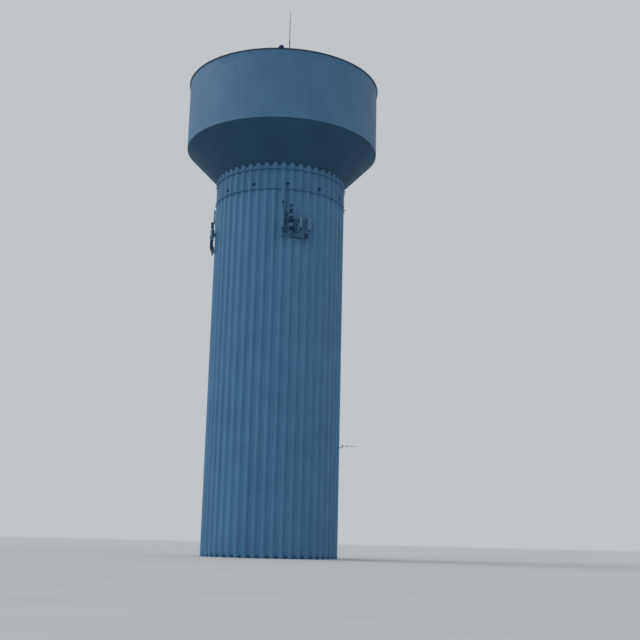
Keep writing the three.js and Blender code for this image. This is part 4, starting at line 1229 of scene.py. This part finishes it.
fittings = [
    rod(hinge + [0, 0, z - real(55)], hinge + [0, 0, z + real(55)], real(11), 12)
    for z in (leaf_low + real(230), (leaf_low + leaf_high) / 2, leaf_high - real(230))
]
lever = np.array([DOOR_HALF - real(80), -LEAF_FRONT, leaf_low + LEVER_HEIGHT])
fittings += [
    block(lever - [real(26), real(9), real(110)], lever + [real(26), real(2), real(80)], real(4), 1),
    rod(lever, lever - [0, real(60), 0], real(11), 12),
    rod(lever + [real(12), -real(56), 0], lever - [real(125), real(56), 0], real(10), 12),
]
dressed = [(together(leaf), trim_paint_and_rim_shade), (backing, vent_painted_shade), (together(fittings), zinc_with_painted_shade)]
piece("steel_door", [(moved(part, DOOR_ANGLE), finish) for part, finish in dressed], "rim_paint", "door_leaf")
print("door is", round(leaf_high - leaf_low, 3), "m high on the model")

# %% [markdown]
# ## Aerial sectors
#
# Three equal groups of aerials hang on the column, each a whole number of flutes from the next. A group is
# drawn once, as if it hung at the very front, and then turned to its three places. So its sizes are plain
# distances: across, out from the crests, and up.

# %% Sizes of a sector
SECTOR_CENTRE = 12.9
RAILS = (real(33100), real(35000))
RAIL_LENGTH = real(3300)
RAIL_RADIUS = real(44)
RAIL_OUT = real(150)
POST_RADIUS = real(36)
POST_OUT = RAIL_OUT + real(76)
PANEL_OUT = RAIL_OUT + real(180)
PANEL_DEPTH = real(160)
rail_y = -CREST_RADIUS - RAIL_OUT
post_y = -CREST_RADIUS - POST_OUT
Panel = namedtuple("Panel", "name x post width bottom height")
PANELS = [
    Panel("left", real(-1460), real(-1110), real(270), real(33880), real(1340)),
    Panel("middle", real(550), real(550), real(290), real(34030), real(1350)),
    Panel("right", real(1480), real(1200), real(270), real(33920), real(1380)),
]
RADIO_X = real(-525)
RADIO_POST_TOP = real(36720)
POST_FOOT = RAILS[0] - real(140)
CLAMP_SHARES = (0.08, 0.92)
ARM_HALF = real(35)
ARM_PLATE_HALF = real(100)
ARM_PLATE_RISE = real(150)
print("rails are", round(RAILS[1] - RAILS[0], 3), "m apart on the model")

# %% [markdown]
# Galvanised hardware carries each group: square arms bolted to the crests, U-bolts that tie every post to
# both rails, and a bracket with a jaw for each panel. A U-bolt is a bar bent round the post in a half
# circle, with its two legs through a saddle plate.

# %% Arms, posts and clamps
def wall_arm(z, length, half, plate_half, plate_rise, angle):
    """A bolted plate on a crest with a square tube out from it, turned to its crest's angle."""
    wall = -CREST_RADIUS - GAP
    front = wall - real(20)
    parts = [
        slab(0, plate_half, (front, wall), (z - plate_rise, z + plate_rise), real(4)),
        slab(0, half, (-CREST_RADIUS - length, wall - real(10)), (z - half, z + half), real(6), 2),
    ]
    for x, rise in ((-0.68, -0.74), (0.68, -0.74), (-0.68, 0.74), (0.68, 0.74)):
        parts.append(bolt((x * plate_half, front, z + rise * plate_rise), (0, -1, 0), real(26)))
    return moved(together(parts), angle)


def u_bolt(x, z):
    """A bar round the front of a post, whose legs run back past the rail to a saddle plate and nuts."""
    r = POST_RADIUS + real(9)
    t = np.radians(np.linspace(0, 180, 9))
    bend = np.stack([x + r * np.cos(t), post_y - r * np.sin(t), np.full(9, z)], -1)
    saddle = rail_y + RAIL_RADIUS
    legs = np.concatenate([[(x + r, saddle + real(30), z)], bend, [(x - r, saddle + real(30), z)]])
    plate = slab(x, r + real(26), (saddle, saddle + real(10)), (z - real(30), z + real(30)), real(3))
    nuts = [bolt((side, saddle + real(10), z), (0, 1, 0), real(22)) for side in (x - r, x + r)]
    return [pipe(legs, real(8), 8), plate, *nuts]


def post(x, top):
    """An upright pipe with U-bolts just above the lower rail and just below the upper one."""
    parts = [upright(x, post_y, POST_FOOT, top, POST_RADIUS)]
    for z in (RAILS[0] + RAIL_RADIUS + real(26), RAILS[1] - RAIL_RADIUS - real(26)):
        parts += u_bolt(x, z)
    return parts, upright(x, post_y, top - real(30), top + real(6), POST_RADIUS + real(4))


def panel_clamp(panel, z):
    """A bracket from a panel to its post, with a jaw behind the post and two bolts through both."""
    left, right = min(panel.post, panel.x) - real(50), max(panel.post, panel.x) + real(50)
    jaw = post_y + POST_RADIUS
    low, high = (left, -CREST_RADIUS - PANEL_OUT, z - real(40)), (right, post_y + real(20), z + real(40))
    parts = [
        block(low, high, real(5), 1),
        slab(panel.post, real(62), (jaw, jaw + real(22)), (z - real(36), z + real(36)), real(4)),
    ]
    for x in (panel.post - real(48), panel.post + real(48)):
        parts.append(rod((x, post_y - real(20), z), (x, jaw + real(40), z), real(7), 8))
        parts.append(bolt((x, jaw + real(22), z), (0, 1, 0), real(20)))
    return parts


print("a U-bolt has", len(together(u_bolt(0, 0)).sizes), "faces")

# %% [markdown]
# Two level rails and four posts of pipe make the frame. Plastic caps close the ends of rails and posts, to
# keep rain out of them, and show as small dark tips.

# %% Pipe frame of a sector
def sector_frame():
    """Rails, arms, posts and the clamps that carry each panel, and the plastic caps on their ends."""
    parts, caps = [], []
    for z in RAILS:
        parts.append(level(-RAIL_LENGTH / 2, RAIL_LENGTH / 2, rail_y, z, RAIL_RADIUS))
        for side in (-1, 1):
            end = side * RAIL_LENGTH / 2
            caps.append(level(end - side * real(30), end + side * real(6), rail_y, z, RAIL_RADIUS + real(4)))
        for flute in (1, 2):
            turn = crest_angle(flute) - SECTOR_CENTRE
            parts.append(wall_arm(z, RAIL_OUT, ARM_HALF, ARM_PLATE_HALF, ARM_PLATE_RISE, turn))
    tops = [(panel.post, panel.bottom + panel.height + real(380)) for panel in PANELS]
    for x, top in (*tops, (RADIO_X, RADIO_POST_TOP)):
        steel, cap = post(x, top)
        parts += steel
        caps.append(cap)
    for panel in PANELS:
        for share in CLAMP_SHARES:
            parts += panel_clamp(panel, panel.bottom + share * panel.height)
    return together(parts), together(caps)


print("a frame has", len(sector_frame()[0].sizes), "faces of steel")

# %% [markdown]
# A panel aerial hides its dipoles behind a long fibreglass cover: flat at the back, and rounded at the
# front like a loaf. The cap at its top is painted with it. The one at its foot is dark, and short connectors
# stick out of it. The cover's outline is half a squashed circle, |x / a| ** n + |y / b| ** n = 1, whose
# power n sets how boxy it is.

# %% Panel aerials
def loaf(width, depth, low, high, power=3.2):
    """A loaf-shaped cover between two heights. Its back is flat, at y = 0, its front reaches y = -depth,
    and both ends are drawn in by a small round."""
    t = np.radians(np.linspace(0, 180, 18))
    wide, deep = np.sign(np.cos(t)) * np.abs(np.cos(t)) ** (2 / power), np.abs(np.sin(t)) ** (2 / power)
    e = min(real(12), (high - low) * 0.2)
    foot = [(low, e), (low + e * 0.3, e * 0.3), (low + e, 0)]
    head = [(high - e, 0), (high - e * 0.3, e * 0.3), (high, e)]
    rings = []
    for z, cut in foot + head:
        rings.append(np.stack([(width / 2 - cut) * wide, -(depth - cut) * deep, np.full(len(t), z)], -1))
    return loft(rings)


def connector(x, y, z):
    """A coaxial plug under a housing: a collar, a hexagon nut and a rubber boot that tapers down."""
    nut, boot, tail = z - real(22), z - real(52), z - real(135)
    metal = [upright(x, y, z, nut, real(17), 14), upright(x, y, nut, boot, real(21), 6)]
    return together(metal), rod((x, y, boot), (x, y, tail), real(26), 12, real(15))


def cover_with_ends(width, depth, low, high, lower_cap, upper_cap, x, back, plugs):
    """A cover between two end caps that stand 4 mm wider, and connectors at places across its width."""
    body = moved(loaf(width - real(8), depth - real(4), low + lower_cap, high - upper_cap), by=(x, back, 0))
    foot = moved(loaf(width, depth, low, low + lower_cap), by=(x, back, 0))
    head = moved(loaf(width, depth, high - upper_cap, high), by=(x, back, 0))
    metal, boots = zip(*(connector(x + shift, back - depth / 2, low) for shift in plugs))
    return together([body, head]), together([foot, *boots]), together(metal)


def panel_aerial(panel):
    """Cover, end caps and connectors of one panel, with their materials."""
    top, cap = panel.bottom + panel.height, real(46)
    back = -CREST_RADIUS - PANEL_OUT - GAP
    plugs = (-real(75), 0, real(75))
    parts = cover_with_ends(panel.width, PANEL_DEPTH, panel.bottom, top, cap, cap, panel.x, back, plugs)
    finish = painted_cover if panel.name == "middle" else slim_cover
    return list(zip(parts, (finish, dark_plastic_and_painted_shade, zinc_with_painted_shade)))


print("a panel aerial has", sum(len(part.sizes) for part, _ in panel_aerial(PANELS[0])), "faces")

# %% [markdown]
# The radio units are finned castings that shed heat to the air. Four hang one above the other on a rail.
# From below, three show a pale face over a dark underside, and one is dark all over. The dark underside is a
# sole of dark plastic, painted shade for the shadowed bottom of each unit. That stack of light and dark is
# what the eye picks out on the column from far away.

# %% Radio units
Radio = namedtuple("Radio", "bottom height width depth sole hood coat")
RADIOS = [
    Radio(real(33880), real(680), real(380), real(230), real(250), real(20), pale_casting),
    Radio(real(34700), real(340), real(480), real(260), real(60), real(60), dark_casting),
    Radio(real(35180), real(520), real(320), real(220), real(80), real(130), pale_casting),
    Radio(real(35960), real(600), real(290), real(210), real(120), real(210), pale_casting),
]
FIN = real(42)
radio_back = post_y - POST_RADIUS - GAP


def radio_unit(radio):
    """Housing, fins, side grips, a dark sole as painted shade of the underside, a dark hood and connectors of
    one unit.
    """
    back = radio_back - real(20)
    half, front = radio.width / 2, back - radio.depth
    low, high = radio.bottom, radio.bottom + radio.height
    foot, brow = low + radio.sole, high - radio.hood
    face = (front + real(6), front + FIN * 1.5), (foot + real(30), brow + real(6))
    housing = [
        slab(RADIO_X, half, (front + FIN, back), (foot, high), real(16), 2),
        slab(RADIO_X, half * 0.86, *face, real(10), 2),
    ]
    for x in RADIO_X + np.linspace(-0.78, 0.78, 9) * half:
        heights = foot + real(46), brow - real(16)
        housing.append(slab(x, real(4), (front, front + real(14)), heights, real(3)))
    # The sole is painted shade: a dark block where the unit's underside falls in shadow.
    sole = slab(RADIO_X, half * 0.96, (front + FIN * 0.6, back - real(4)), (low, foot + real(6)), real(8), 2)
    hood = slab(RADIO_X, half, (front + real(4), back), (brow, high), real(8), 2)
    plugs = RADIO_X + np.array([-0.6, -0.2, 0.2, 0.6]) * half
    metal, boots = zip(*(connector(x, back - radio.depth * 0.45, low) for x in plugs))
    grips = []
    for side in (-1, 1):
        x, y = RADIO_X + side * half, back - real(90)
        knots = [(-4, 110), (26, 125), (26, 225), (-4, 240)]
        grip = [(x + side * real(out), y, high - real(down)) for out, down in knots]
        grips.append(pipe(smooth_path(grip, 4), real(8), 8))
    dark = together([sole, hood, *boots])
    return [(together(housing), radio.coat), (dark, dark_plastic_and_painted_shade), (together([*grips, *metal]), zinc_with_painted_shade)]


def radio_stack():
    """The rail, the units on it, and a dark filter box on the rail between the two upper units."""
    low, high = RADIOS[0].bottom - real(60), RADIOS[-1].bottom + RADIOS[-1].height + real(60)
    rail = slab(RADIO_X, real(40), (radio_back - real(30), radio_back), (low, high), real(5))
    depths, heights = (radio_back - real(130), radio_back - real(10)), (real(35722), real(35905))
    filter_box = slab(RADIO_X, real(120), depths, heights, real(10), 2)
    return [(rail, zinc_with_painted_shade), (filter_box, dark_plastic_and_painted_shade)] + [pair for radio in RADIOS for pair in radio_unit(radio)]


print("the stack has", len(RADIOS), "units")

# %% [markdown]
# Above the frame, a slender aerial hangs on a pipe of its own, off the crest to the left. It is made like
# the panels, with a long dark cap at its lower end.

# %% Slender aerial above the frame
UPPER_WIDTH = real(210)
UPPER_DEPTH = real(120)
UPPER_LOW = real(36800)
UPPER_HIGH = real(38420)
UPPER_OUT = real(210)
UPPER_PIPE_OUT = real(115)
UPPER_ANGLE = crest_angle(0) - SECTOR_CENTRE


def upper_aerial():
    """A slim cover on its own pipe, which two arms hold to a crest."""
    pipe_y, face = -CREST_RADIUS - UPPER_PIPE_OUT, -CREST_RADIUS - UPPER_OUT
    plugs = (-real(45), real(45))
    cover, dark, metal = cover_with_ends(
        UPPER_WIDTH, UPPER_DEPTH, UPPER_LOW, UPPER_HIGH, real(200), real(30), 0, face, plugs)
    steel = [metal, upright(0, pipe_y, UPPER_LOW - real(480), UPPER_HIGH - real(100), POST_RADIUS)]
    for share in (0.12, 0.78):
        z = UPPER_LOW + share * (UPPER_HIGH - UPPER_LOW)
        steel.append(wall_arm(z, UPPER_PIPE_OUT, real(30), real(90), real(100), 0))
        steel.append(slab(0, real(45), (face - real(20), pipe_y), (z - real(35), z + real(35)), real(5)))
    dressed = [(cover, slim_cover), (dark, dark_plastic_and_painted_shade), (together(steel), zinc_with_painted_shade)]
    return [(moved(part, UPPER_ANGLE), finish) for part, finish in dressed]


print("the slender aerial is", round(UPPER_HIGH - UPPER_LOW, 3), "m long on the model")

# %% [markdown]
# Cable ties a sector together. The feeders come out of a conduit to the left post. A second bundle hangs
# beside the radio units, loops join both to a junction box, and every aerial has jumpers from its plugs.
# Each route is a short list of places in real millimetres, seen from in front of the sector.

# %% Cable routes
# Radius of a full bundle, and radius and number of cables of the two thinner kinds.
BUNDLE = 42
LOOP = {"radius": 26, "strands": 4}
JUMPER = {"radius": 20, "strands": 3}
FEEDER_RADIUS = 7036
SLENDER_PLUG_RADIUS = 7493
LEFT_X, MIDDLE_X = -1017.4, -160
HANG_Y = (rail_y - RAIL_RADIUS - GAP) / real(1) - BUNDLE
UNIT_Y = radio_back / real(1) - 135
PANEL_Y = (-CREST_RADIUS - PANEL_OUT - GAP - PANEL_DEPTH / 2) / real(1)
BOX_Y = radio_back / real(1) - 100
BOX_LOW, BOX_HIGH = real(np.array([1030, BOX_Y - 100, 32970])), real(np.array([1350, BOX_Y + 100, 33520]))


def in_valley(z, out=0):
    """Place in the feeder's valley, as millimetres, from a height and a distance off its usual line."""
    return polar(FEEDER_RADIUS + out, crest_angle(0.5) - SECTOR_CENTRE, float(z))


FEEDER = [
    in_valley(36050), in_valley(35910), in_valley(35750, 30), (-930, -7160, 35430),
    (LEFT_X + 20, HANG_Y + 150, 35250), *((LEFT_X, HANG_Y, z) for z in (35060, 34400, 33480)),
]
MIDDLE_BUNDLE = [(MIDDLE_X, HANG_Y, z) for z in (34980, 34150, 33330)]
LOOPS = [
    [(LEFT_X, HANG_Y, 33620), (LEFT_X + 40, HANG_Y - 40, 33400), (-588.7, HANG_Y - 100, 33260),
     (MIDDLE_X - 40, HANG_Y - 40, 33380), (MIDDLE_X, HANG_Y, 33560)],
    [(MIDDLE_X, HANG_Y, 33420), (MIDDLE_X + 60, HANG_Y - 50, 33200), (430, HANG_Y - 100, 32840),
     (950, HANG_Y - 110, 33050), (1070, BOX_Y, 33180)],
]
# Bends of the jumpers of each panel, between its plugs and the bundle or the box.
PANEL_BENDS = {
    "left": [(-1360, PANEL_Y + 18, 33520), (LEFT_X - 110, HANG_Y - 85, 33480), (LEFT_X, HANG_Y - 20, 33640)],
    "middle": [(430, PANEL_Y + 13, 33640), (120, HANG_Y - 90, 33560), (MIDDLE_X, HANG_Y - 20, 33700)],
    "right": [(1440, PANEL_Y + 13, 33480), (1390, PANEL_Y + 33, 33380), (1320, BOX_Y, 33380)],
}
# Jumpers of the radio units: place across, height and first drop of the plug, then the bends.
UNIT_JUMPERS = [
    ((-630, 33879, 140), [(-840, HANG_Y - 80, 33560), (LEFT_X, HANG_Y - 15, 33720)]),
    ((-420, 33879, 140), [(-290, HANG_Y - 80, 33590), (MIDDLE_X, HANG_Y - 15, 33740)]),
    ((-700, 34699, 70), [(-860, HANG_Y - 90, 34580), (LEFT_X, HANG_Y - 15, 34700)]),
    ((-350, 34699, 70), [(-240, HANG_Y - 90, 34590), (MIDDLE_X, HANG_Y - 15, 34700)]),
    ((-400, 35179, 57), [(-290, UNIT_Y + 30, 35092), (-215, HANG_Y - 70, 35000), (MIDDLE_X, HANG_Y, 34760)]),
    ((-648, 35959, 55), [(-740, UNIT_Y + 30, 35790), (-870, HANG_Y - 70, 35460), (LEFT_X, HANG_Y, 35000)]),
]
# Coils of spare cable beside the bundles: place across, height and radius.
COILS = [(-860, 33960, 130), (-860, 34720, 110), (-320, 34020, 120), (10, 34420, 140), (10, 33930, 125)]
print("jumpers of radio units:", len(UNIT_JUMPERS), "coils:", len(COILS))

# %% [markdown]
# Spare cable is wound in flat coils. A conduit, painted with the wall, leads the feeders down a valley to
# the sector, and rubber sleeves finish the hanging ends. The junction box is a casting with a bolted lid.

# %% Coils, sleeves, box and conduit
def laid(route, radius, strands, steps=6, tie_every=5):
    """A bundle along a smooth path through the places of a route, all in real millimetres."""
    return bundle(smooth_path(real(np.asarray(route, float)), steps), real(radius), strands, tie_every)


def coil(x, z, radius):
    """Spare cable wound in a flat ring of three turns that touch, and tied at two places."""
    y = HANG_Y + 22
    t = np.linspace(0, 2 * np.pi, 25)[:-1, None]
    out = np.cos(t) * [1, 0, 0] + np.sin(t) * [0, 0, 1]
    s = np.arange(6)[None, :, None] * np.pi / 3
    strand = 11 * (np.cos(s) * out[:, None] + np.sin(s) * [0, 1, 0])
    turns = []
    for shift in (-26, 0, 26):
        ring = [x, y + shift * 0.6, z] + (radius + shift * 0.4) * out
        turns.append(loft(real(ring[:, None] + strand), closed=True))
    for side in (-1, 1):
        turns.append(upright(real(x + side * radius), real(y), real(z - 14), real(z + 14), real(34), 10))
    return together(turns)


def boot(x, low, high):
    """A shrunk rubber sleeve over the end of a hanging bundle."""
    return upright(real(x), real(HANG_Y), real(low), real(high), real(BUNDLE), 16)


def junction_box():
    """A cast box with a raised lid held by four bolts, and glands where the cables go in."""
    low, high, y, edge = BOX_LOW, BOX_HIGH, real(BOX_Y), real(14)
    inset = edge * 2.4
    body = block(low + [0, edge, 0], high, real(10))
    lid = block(low + [edge, 0, edge], (high[0] - edge, low[1] + edge * 1.6, high[2] - edge), real(8))
    bolts = [
        bolt((x, low[1] + real(1), z), (0, 1, 0), real(16))
        for x in (low[0] + inset, high[0] - inset) for z in (low[2] + inset, high[2] - inset)
    ]
    glands = [level(low[0] - real(34), low[0] + real(5), y, real(33150), real(32), 12)]
    for z in (real(33383), real(33428)):
        glands.append(level(high[0] - real(5), high[0] + real(26), y, z, real(20), 12))
    return together([body, lid]), together(bolts), together(glands)


def conduit(fed_from_vent):
    """The painted steel pipe that leads the feeders down the valley, with a bell at its mouth. It starts at
    a gland under the vent stub, or at a cast fitting that goes through the wall."""
    top = 38939 if fed_from_vent else 37650
    lengths = [(35950, top, BUNDLE - 1), (35950, 36010, BUNDLE + 3), (top - 60, top, BUNDLE + 3)]
    lengths += [(z, z + 30, BUNDLE + 2) for z in (36350, 36900, 37450, 38000, 38550) if z < top]
    parts = [
        rod(real(in_valley(low)), real(in_valley(high)), real(radius), 20) for low, high, radius in lengths
    ]
    if not fed_from_vent:
        body = block(real(np.array([-50, -7082, 37560])), real(np.array([50, -6994, 37740])), real(14))
        parts.append(moved(body, crest_angle(0.5) - SECTOR_CENTRE))
    return together(parts)


print("a coil has", len(coil(*COILS[0]).sizes), "faces")

# %% [markdown]
# All the cables of a sector make one piece. Jumpers start straight down from their plugs, because a stiff
# coaxial cable can't bend in its boot, and then swing to the bundle.

# %% All the cables of a sector
def sector_cables(fed_from_vent):
    """Every cable of one sector, with its conduit and its junction box."""
    runs = [laid(FEEDER, BUNDLE, 6, 7, 6), laid(MIDDLE_BUNDLE, BUNDLE, 6, 8, 6)]
    runs += [boot(LEFT_X, 33480, 33560), boot(MIDDLE_X, 33330, 33400), boot(MIDDLE_X, 34900, 34980)]
    runs += [laid(route, **LOOP) for route in LOOPS]
    runs += [coil(x, z, radius) for x, z, radius in COILS]
    behind = (rail_y + RAIL_RADIUS) / real(1) + 26
    for z, left, right in ((35000, -1000, 540), (33100, -1000, 1150)):
        sagging = [(left, behind, z), ((left + right) / 2, behind, z - 25), (right, behind, z)]
        runs.append(laid(sagging, steps=10, **LOOP))
    for panel in PANELS:
        for side, shift in ((-70, 0), (70, 45)):
            x, z = panel.x / real(1) + side, panel.bottom / real(1) - 1
            bends = [(bx, by, bz + shift) for bx, by, bz in PANEL_BENDS[panel.name]]
            runs.append(laid([(x, PANEL_Y, z), (x, PANEL_Y, z - 170), *bends], **JUMPER))
    for (x, z, drop), bends in UNIT_JUMPERS:
        runs.append(laid([(x, UNIT_Y, z), (x, UNIT_Y, z - drop), *bends], **JUMPER))
    plug, below = (polar(SLENDER_PLUG_RADIUS, UPPER_ANGLE, z) for z in (36799.0, 36600.0))
    bends = [(-1210, -7360, 36230), (-1040, -7240, 35990), (-930, -7160, 35430)]
    runs.append(laid([plug, below, *bends], **JUMPER))
    body, bolts, glands = junction_box()
    jackets = together([*runs, glands])
    fixed = [(conduit(fed_from_vent), flute_paint), (body, dark_casting), (bolts, zinc_with_painted_shade)]
    return [(jackets, cable_jacket), *fixed]


print("a sector's cables have", len(sector_cables(True)[0][0].sizes), "faces")

# %% [markdown]
# The three sectors are turned copies of one group. Only the front one is fed from a vent stub, so the other
# two have a cast fitting in the wall where their conduit starts.

# %% Place the three sectors
def facing(dressed, angle):
    """Dressed parts turned about the tower's axis."""
    return [(moved(part, angle), material) for part, material in dressed]


def sector_pieces(fed_from_vent):
    """Each piece of a sector, before it is turned to its place: name, dressed parts, slot and node."""
    steel, caps = sector_frame()
    yield "pipe_frame", [(steel, zinc_with_painted_shade), (caps, dark_plastic_and_painted_shade)], "galvanised", "frame"
    for panel in PANELS:
        yield f"{panel.name}_panel_aerial", panel_aerial(panel), "radome", f"{panel.name}_panel"
    yield "radio_stack", radio_stack(), "radio_housing", "radio_units"
    yield "slender_aerial", upper_aerial(), "radome", "upper_aerial"
    yield "cable_runs", sector_cables(fed_from_vent), "cable_jacket", "cables"


for sector, flutes in (("front", 0), ("right", 17), ("left", -13)):
    angle = SECTOR_CENTRE + flutes * FLUTE_PITCH
    for name, dressed, slot, node in sector_pieces(sector == "front"):
        piece(f"{sector}_{name}", facing(dressed, angle), slot, f"{sector}_sector_{node}")
print("one sector has", sum(count for name, count in made if name.startswith("front_")), "triangles")

# %% [markdown]
# Low on the right-hand side, a small directional aerial looks away from the tower. Its boom carries five
# level rods, longest at the back. The second one back is the driven one, with a small feed box.

# %% Side aerial
ARM_HEIGHT = real(11762)
BOOM_HEIGHT = real(11960)
STUB_TOP = real(12090)
STUB_OUT = real(7600)
BOOM_END = real(9120)
ROD_LENGTHS = (430, 410, 360, 345, 330)

hub = np.array([0, -STUB_OUT, BOOM_HEIGHT])
aerial = [
    wall_arm(ARM_HEIGHT, STUB_OUT - CREST_RADIUS, real(25), real(80), real(100), 0),
    upright(0, -STUB_OUT, ARM_HEIGHT - real(60), STUB_TOP, real(30)),
    rod(hub + [0, real(60), 0], (0, -BOOM_END, BOOM_HEIGHT), real(18), 16),
    block(hub - real(46), hub + real(46), real(6), 1),
]
for x, z in ((-34, -26), (34, -26), (-34, 26), (34, 26)):
    aerial.append(bolt(hub + [real(x), -real(46), real(z)], (0, -1, 0), real(14)))
rod_places = np.linspace(STUB_OUT + real(150), BOOM_END - real(40), len(ROD_LENGTHS))
for y, length in zip(rod_places, ROD_LENGTHS):
    clip = np.array([0, -y, BOOM_HEIGHT])
    half = np.array([real(length / 2), 0, 0])
    aerial.append(rod(clip - half, clip + half, real(9), 12))
    aerial.append(block(clip - real(23), clip + real(23), real(4), 1))
feed_y = -rod_places[1]
heights = BOOM_HEIGHT - real(80), BOOM_HEIGHT - real(16)
feed = slab(0, real(40), (feed_y - real(50), feed_y + real(50)), heights, real(8), 2)
dressed = facing([(together(aerial), zinc_with_painted_shade), (feed, dark_plastic_and_painted_shade)], crest_angle(12))
piece("directional_aerial", dressed, "galvanised", "side_aerial")
print("triangles in all:", sum(count for _, count in made))

# %% [markdown]
# ## Stage and light
#
# The tower stands on a plain pale floor that runs to the horizon. It is staging, and no part of the tower.

# %% Floor
FLOOR_HALF = 900
floor_mesh = bpy.data.meshes.new("floor")
floor_mesh.from_pydata([(x, y, 0) for x, y in ((-1, -1), (1, -1), (1, 1), (-1, 1))], [], [(0, 1, 2, 3)])
floor_mesh.transform(Matrix.Diagonal((FLOOR_HALF, FLOOR_HALF, 1, 1)))
floor = bpy.data.objects.new("floor", floor_mesh)
bpy.context.scene.collection.objects.link(floor)
# Floor finish: pale trowelled concrete, nearly matt, with faint wide clouds.
floor_finish, tree, shader, place = new_material("pale_trowelled_concrete")
clouds = spread(tree, noise(tree, place, 5200, detail=3), 0.3, 0.7)
set_shader(tree, shader, blend(tree, clouds, "#c4c6c6", "#cbcccb"), 0.85, noise(tree, place, 60), 2, 0.2)
floor_mesh.materials.append(floor_finish)
print("the floor reaches", FLOOR_HALF, "m each way")

# %% [markdown]
# The sky is one even pale tone, which lights the steel softly from all sides. One broad lamp, high on the
# left and a little behind the tower, brightens its left edge. A second, weak and broader still, favours the
# left side of every flute.

# %% Sky and lamps
world = bpy.data.worlds.new("pale_sky")
world.use_nodes = True
sky = world.node_tree.nodes["Background"]
sky.inputs["Color"].default_value = linear("#d9dee2")
sky.inputs["Strength"].default_value = 0.76
bpy.context.scene.world = world
bpy.context.scene.view_settings.view_transform = "Standard"


def sun(name, azimuth, elevation, strength, spread_angle):
    """A far lamp that shines from an azimuth, counted like the tower's angles, and an elevation."""
    lamp = bpy.data.lights.new(name, "SUN")
    lamp.energy = strength
    lamp.angle = math.radians(spread_angle)
    thing = bpy.data.objects.new(name, lamp)
    thing.rotation_euler = (math.radians(90 - elevation), 0, math.radians(azimuth))
    bpy.context.scene.collection.objects.link(thing)


sun("key_lamp", azimuth=-108, elevation=46, strength=0.76, spread_angle=40)
sun("fill_lamp", azimuth=-60, elevation=25, strength=0.4, spread_angle=70)
print("lamps:", len(bpy.data.lights))
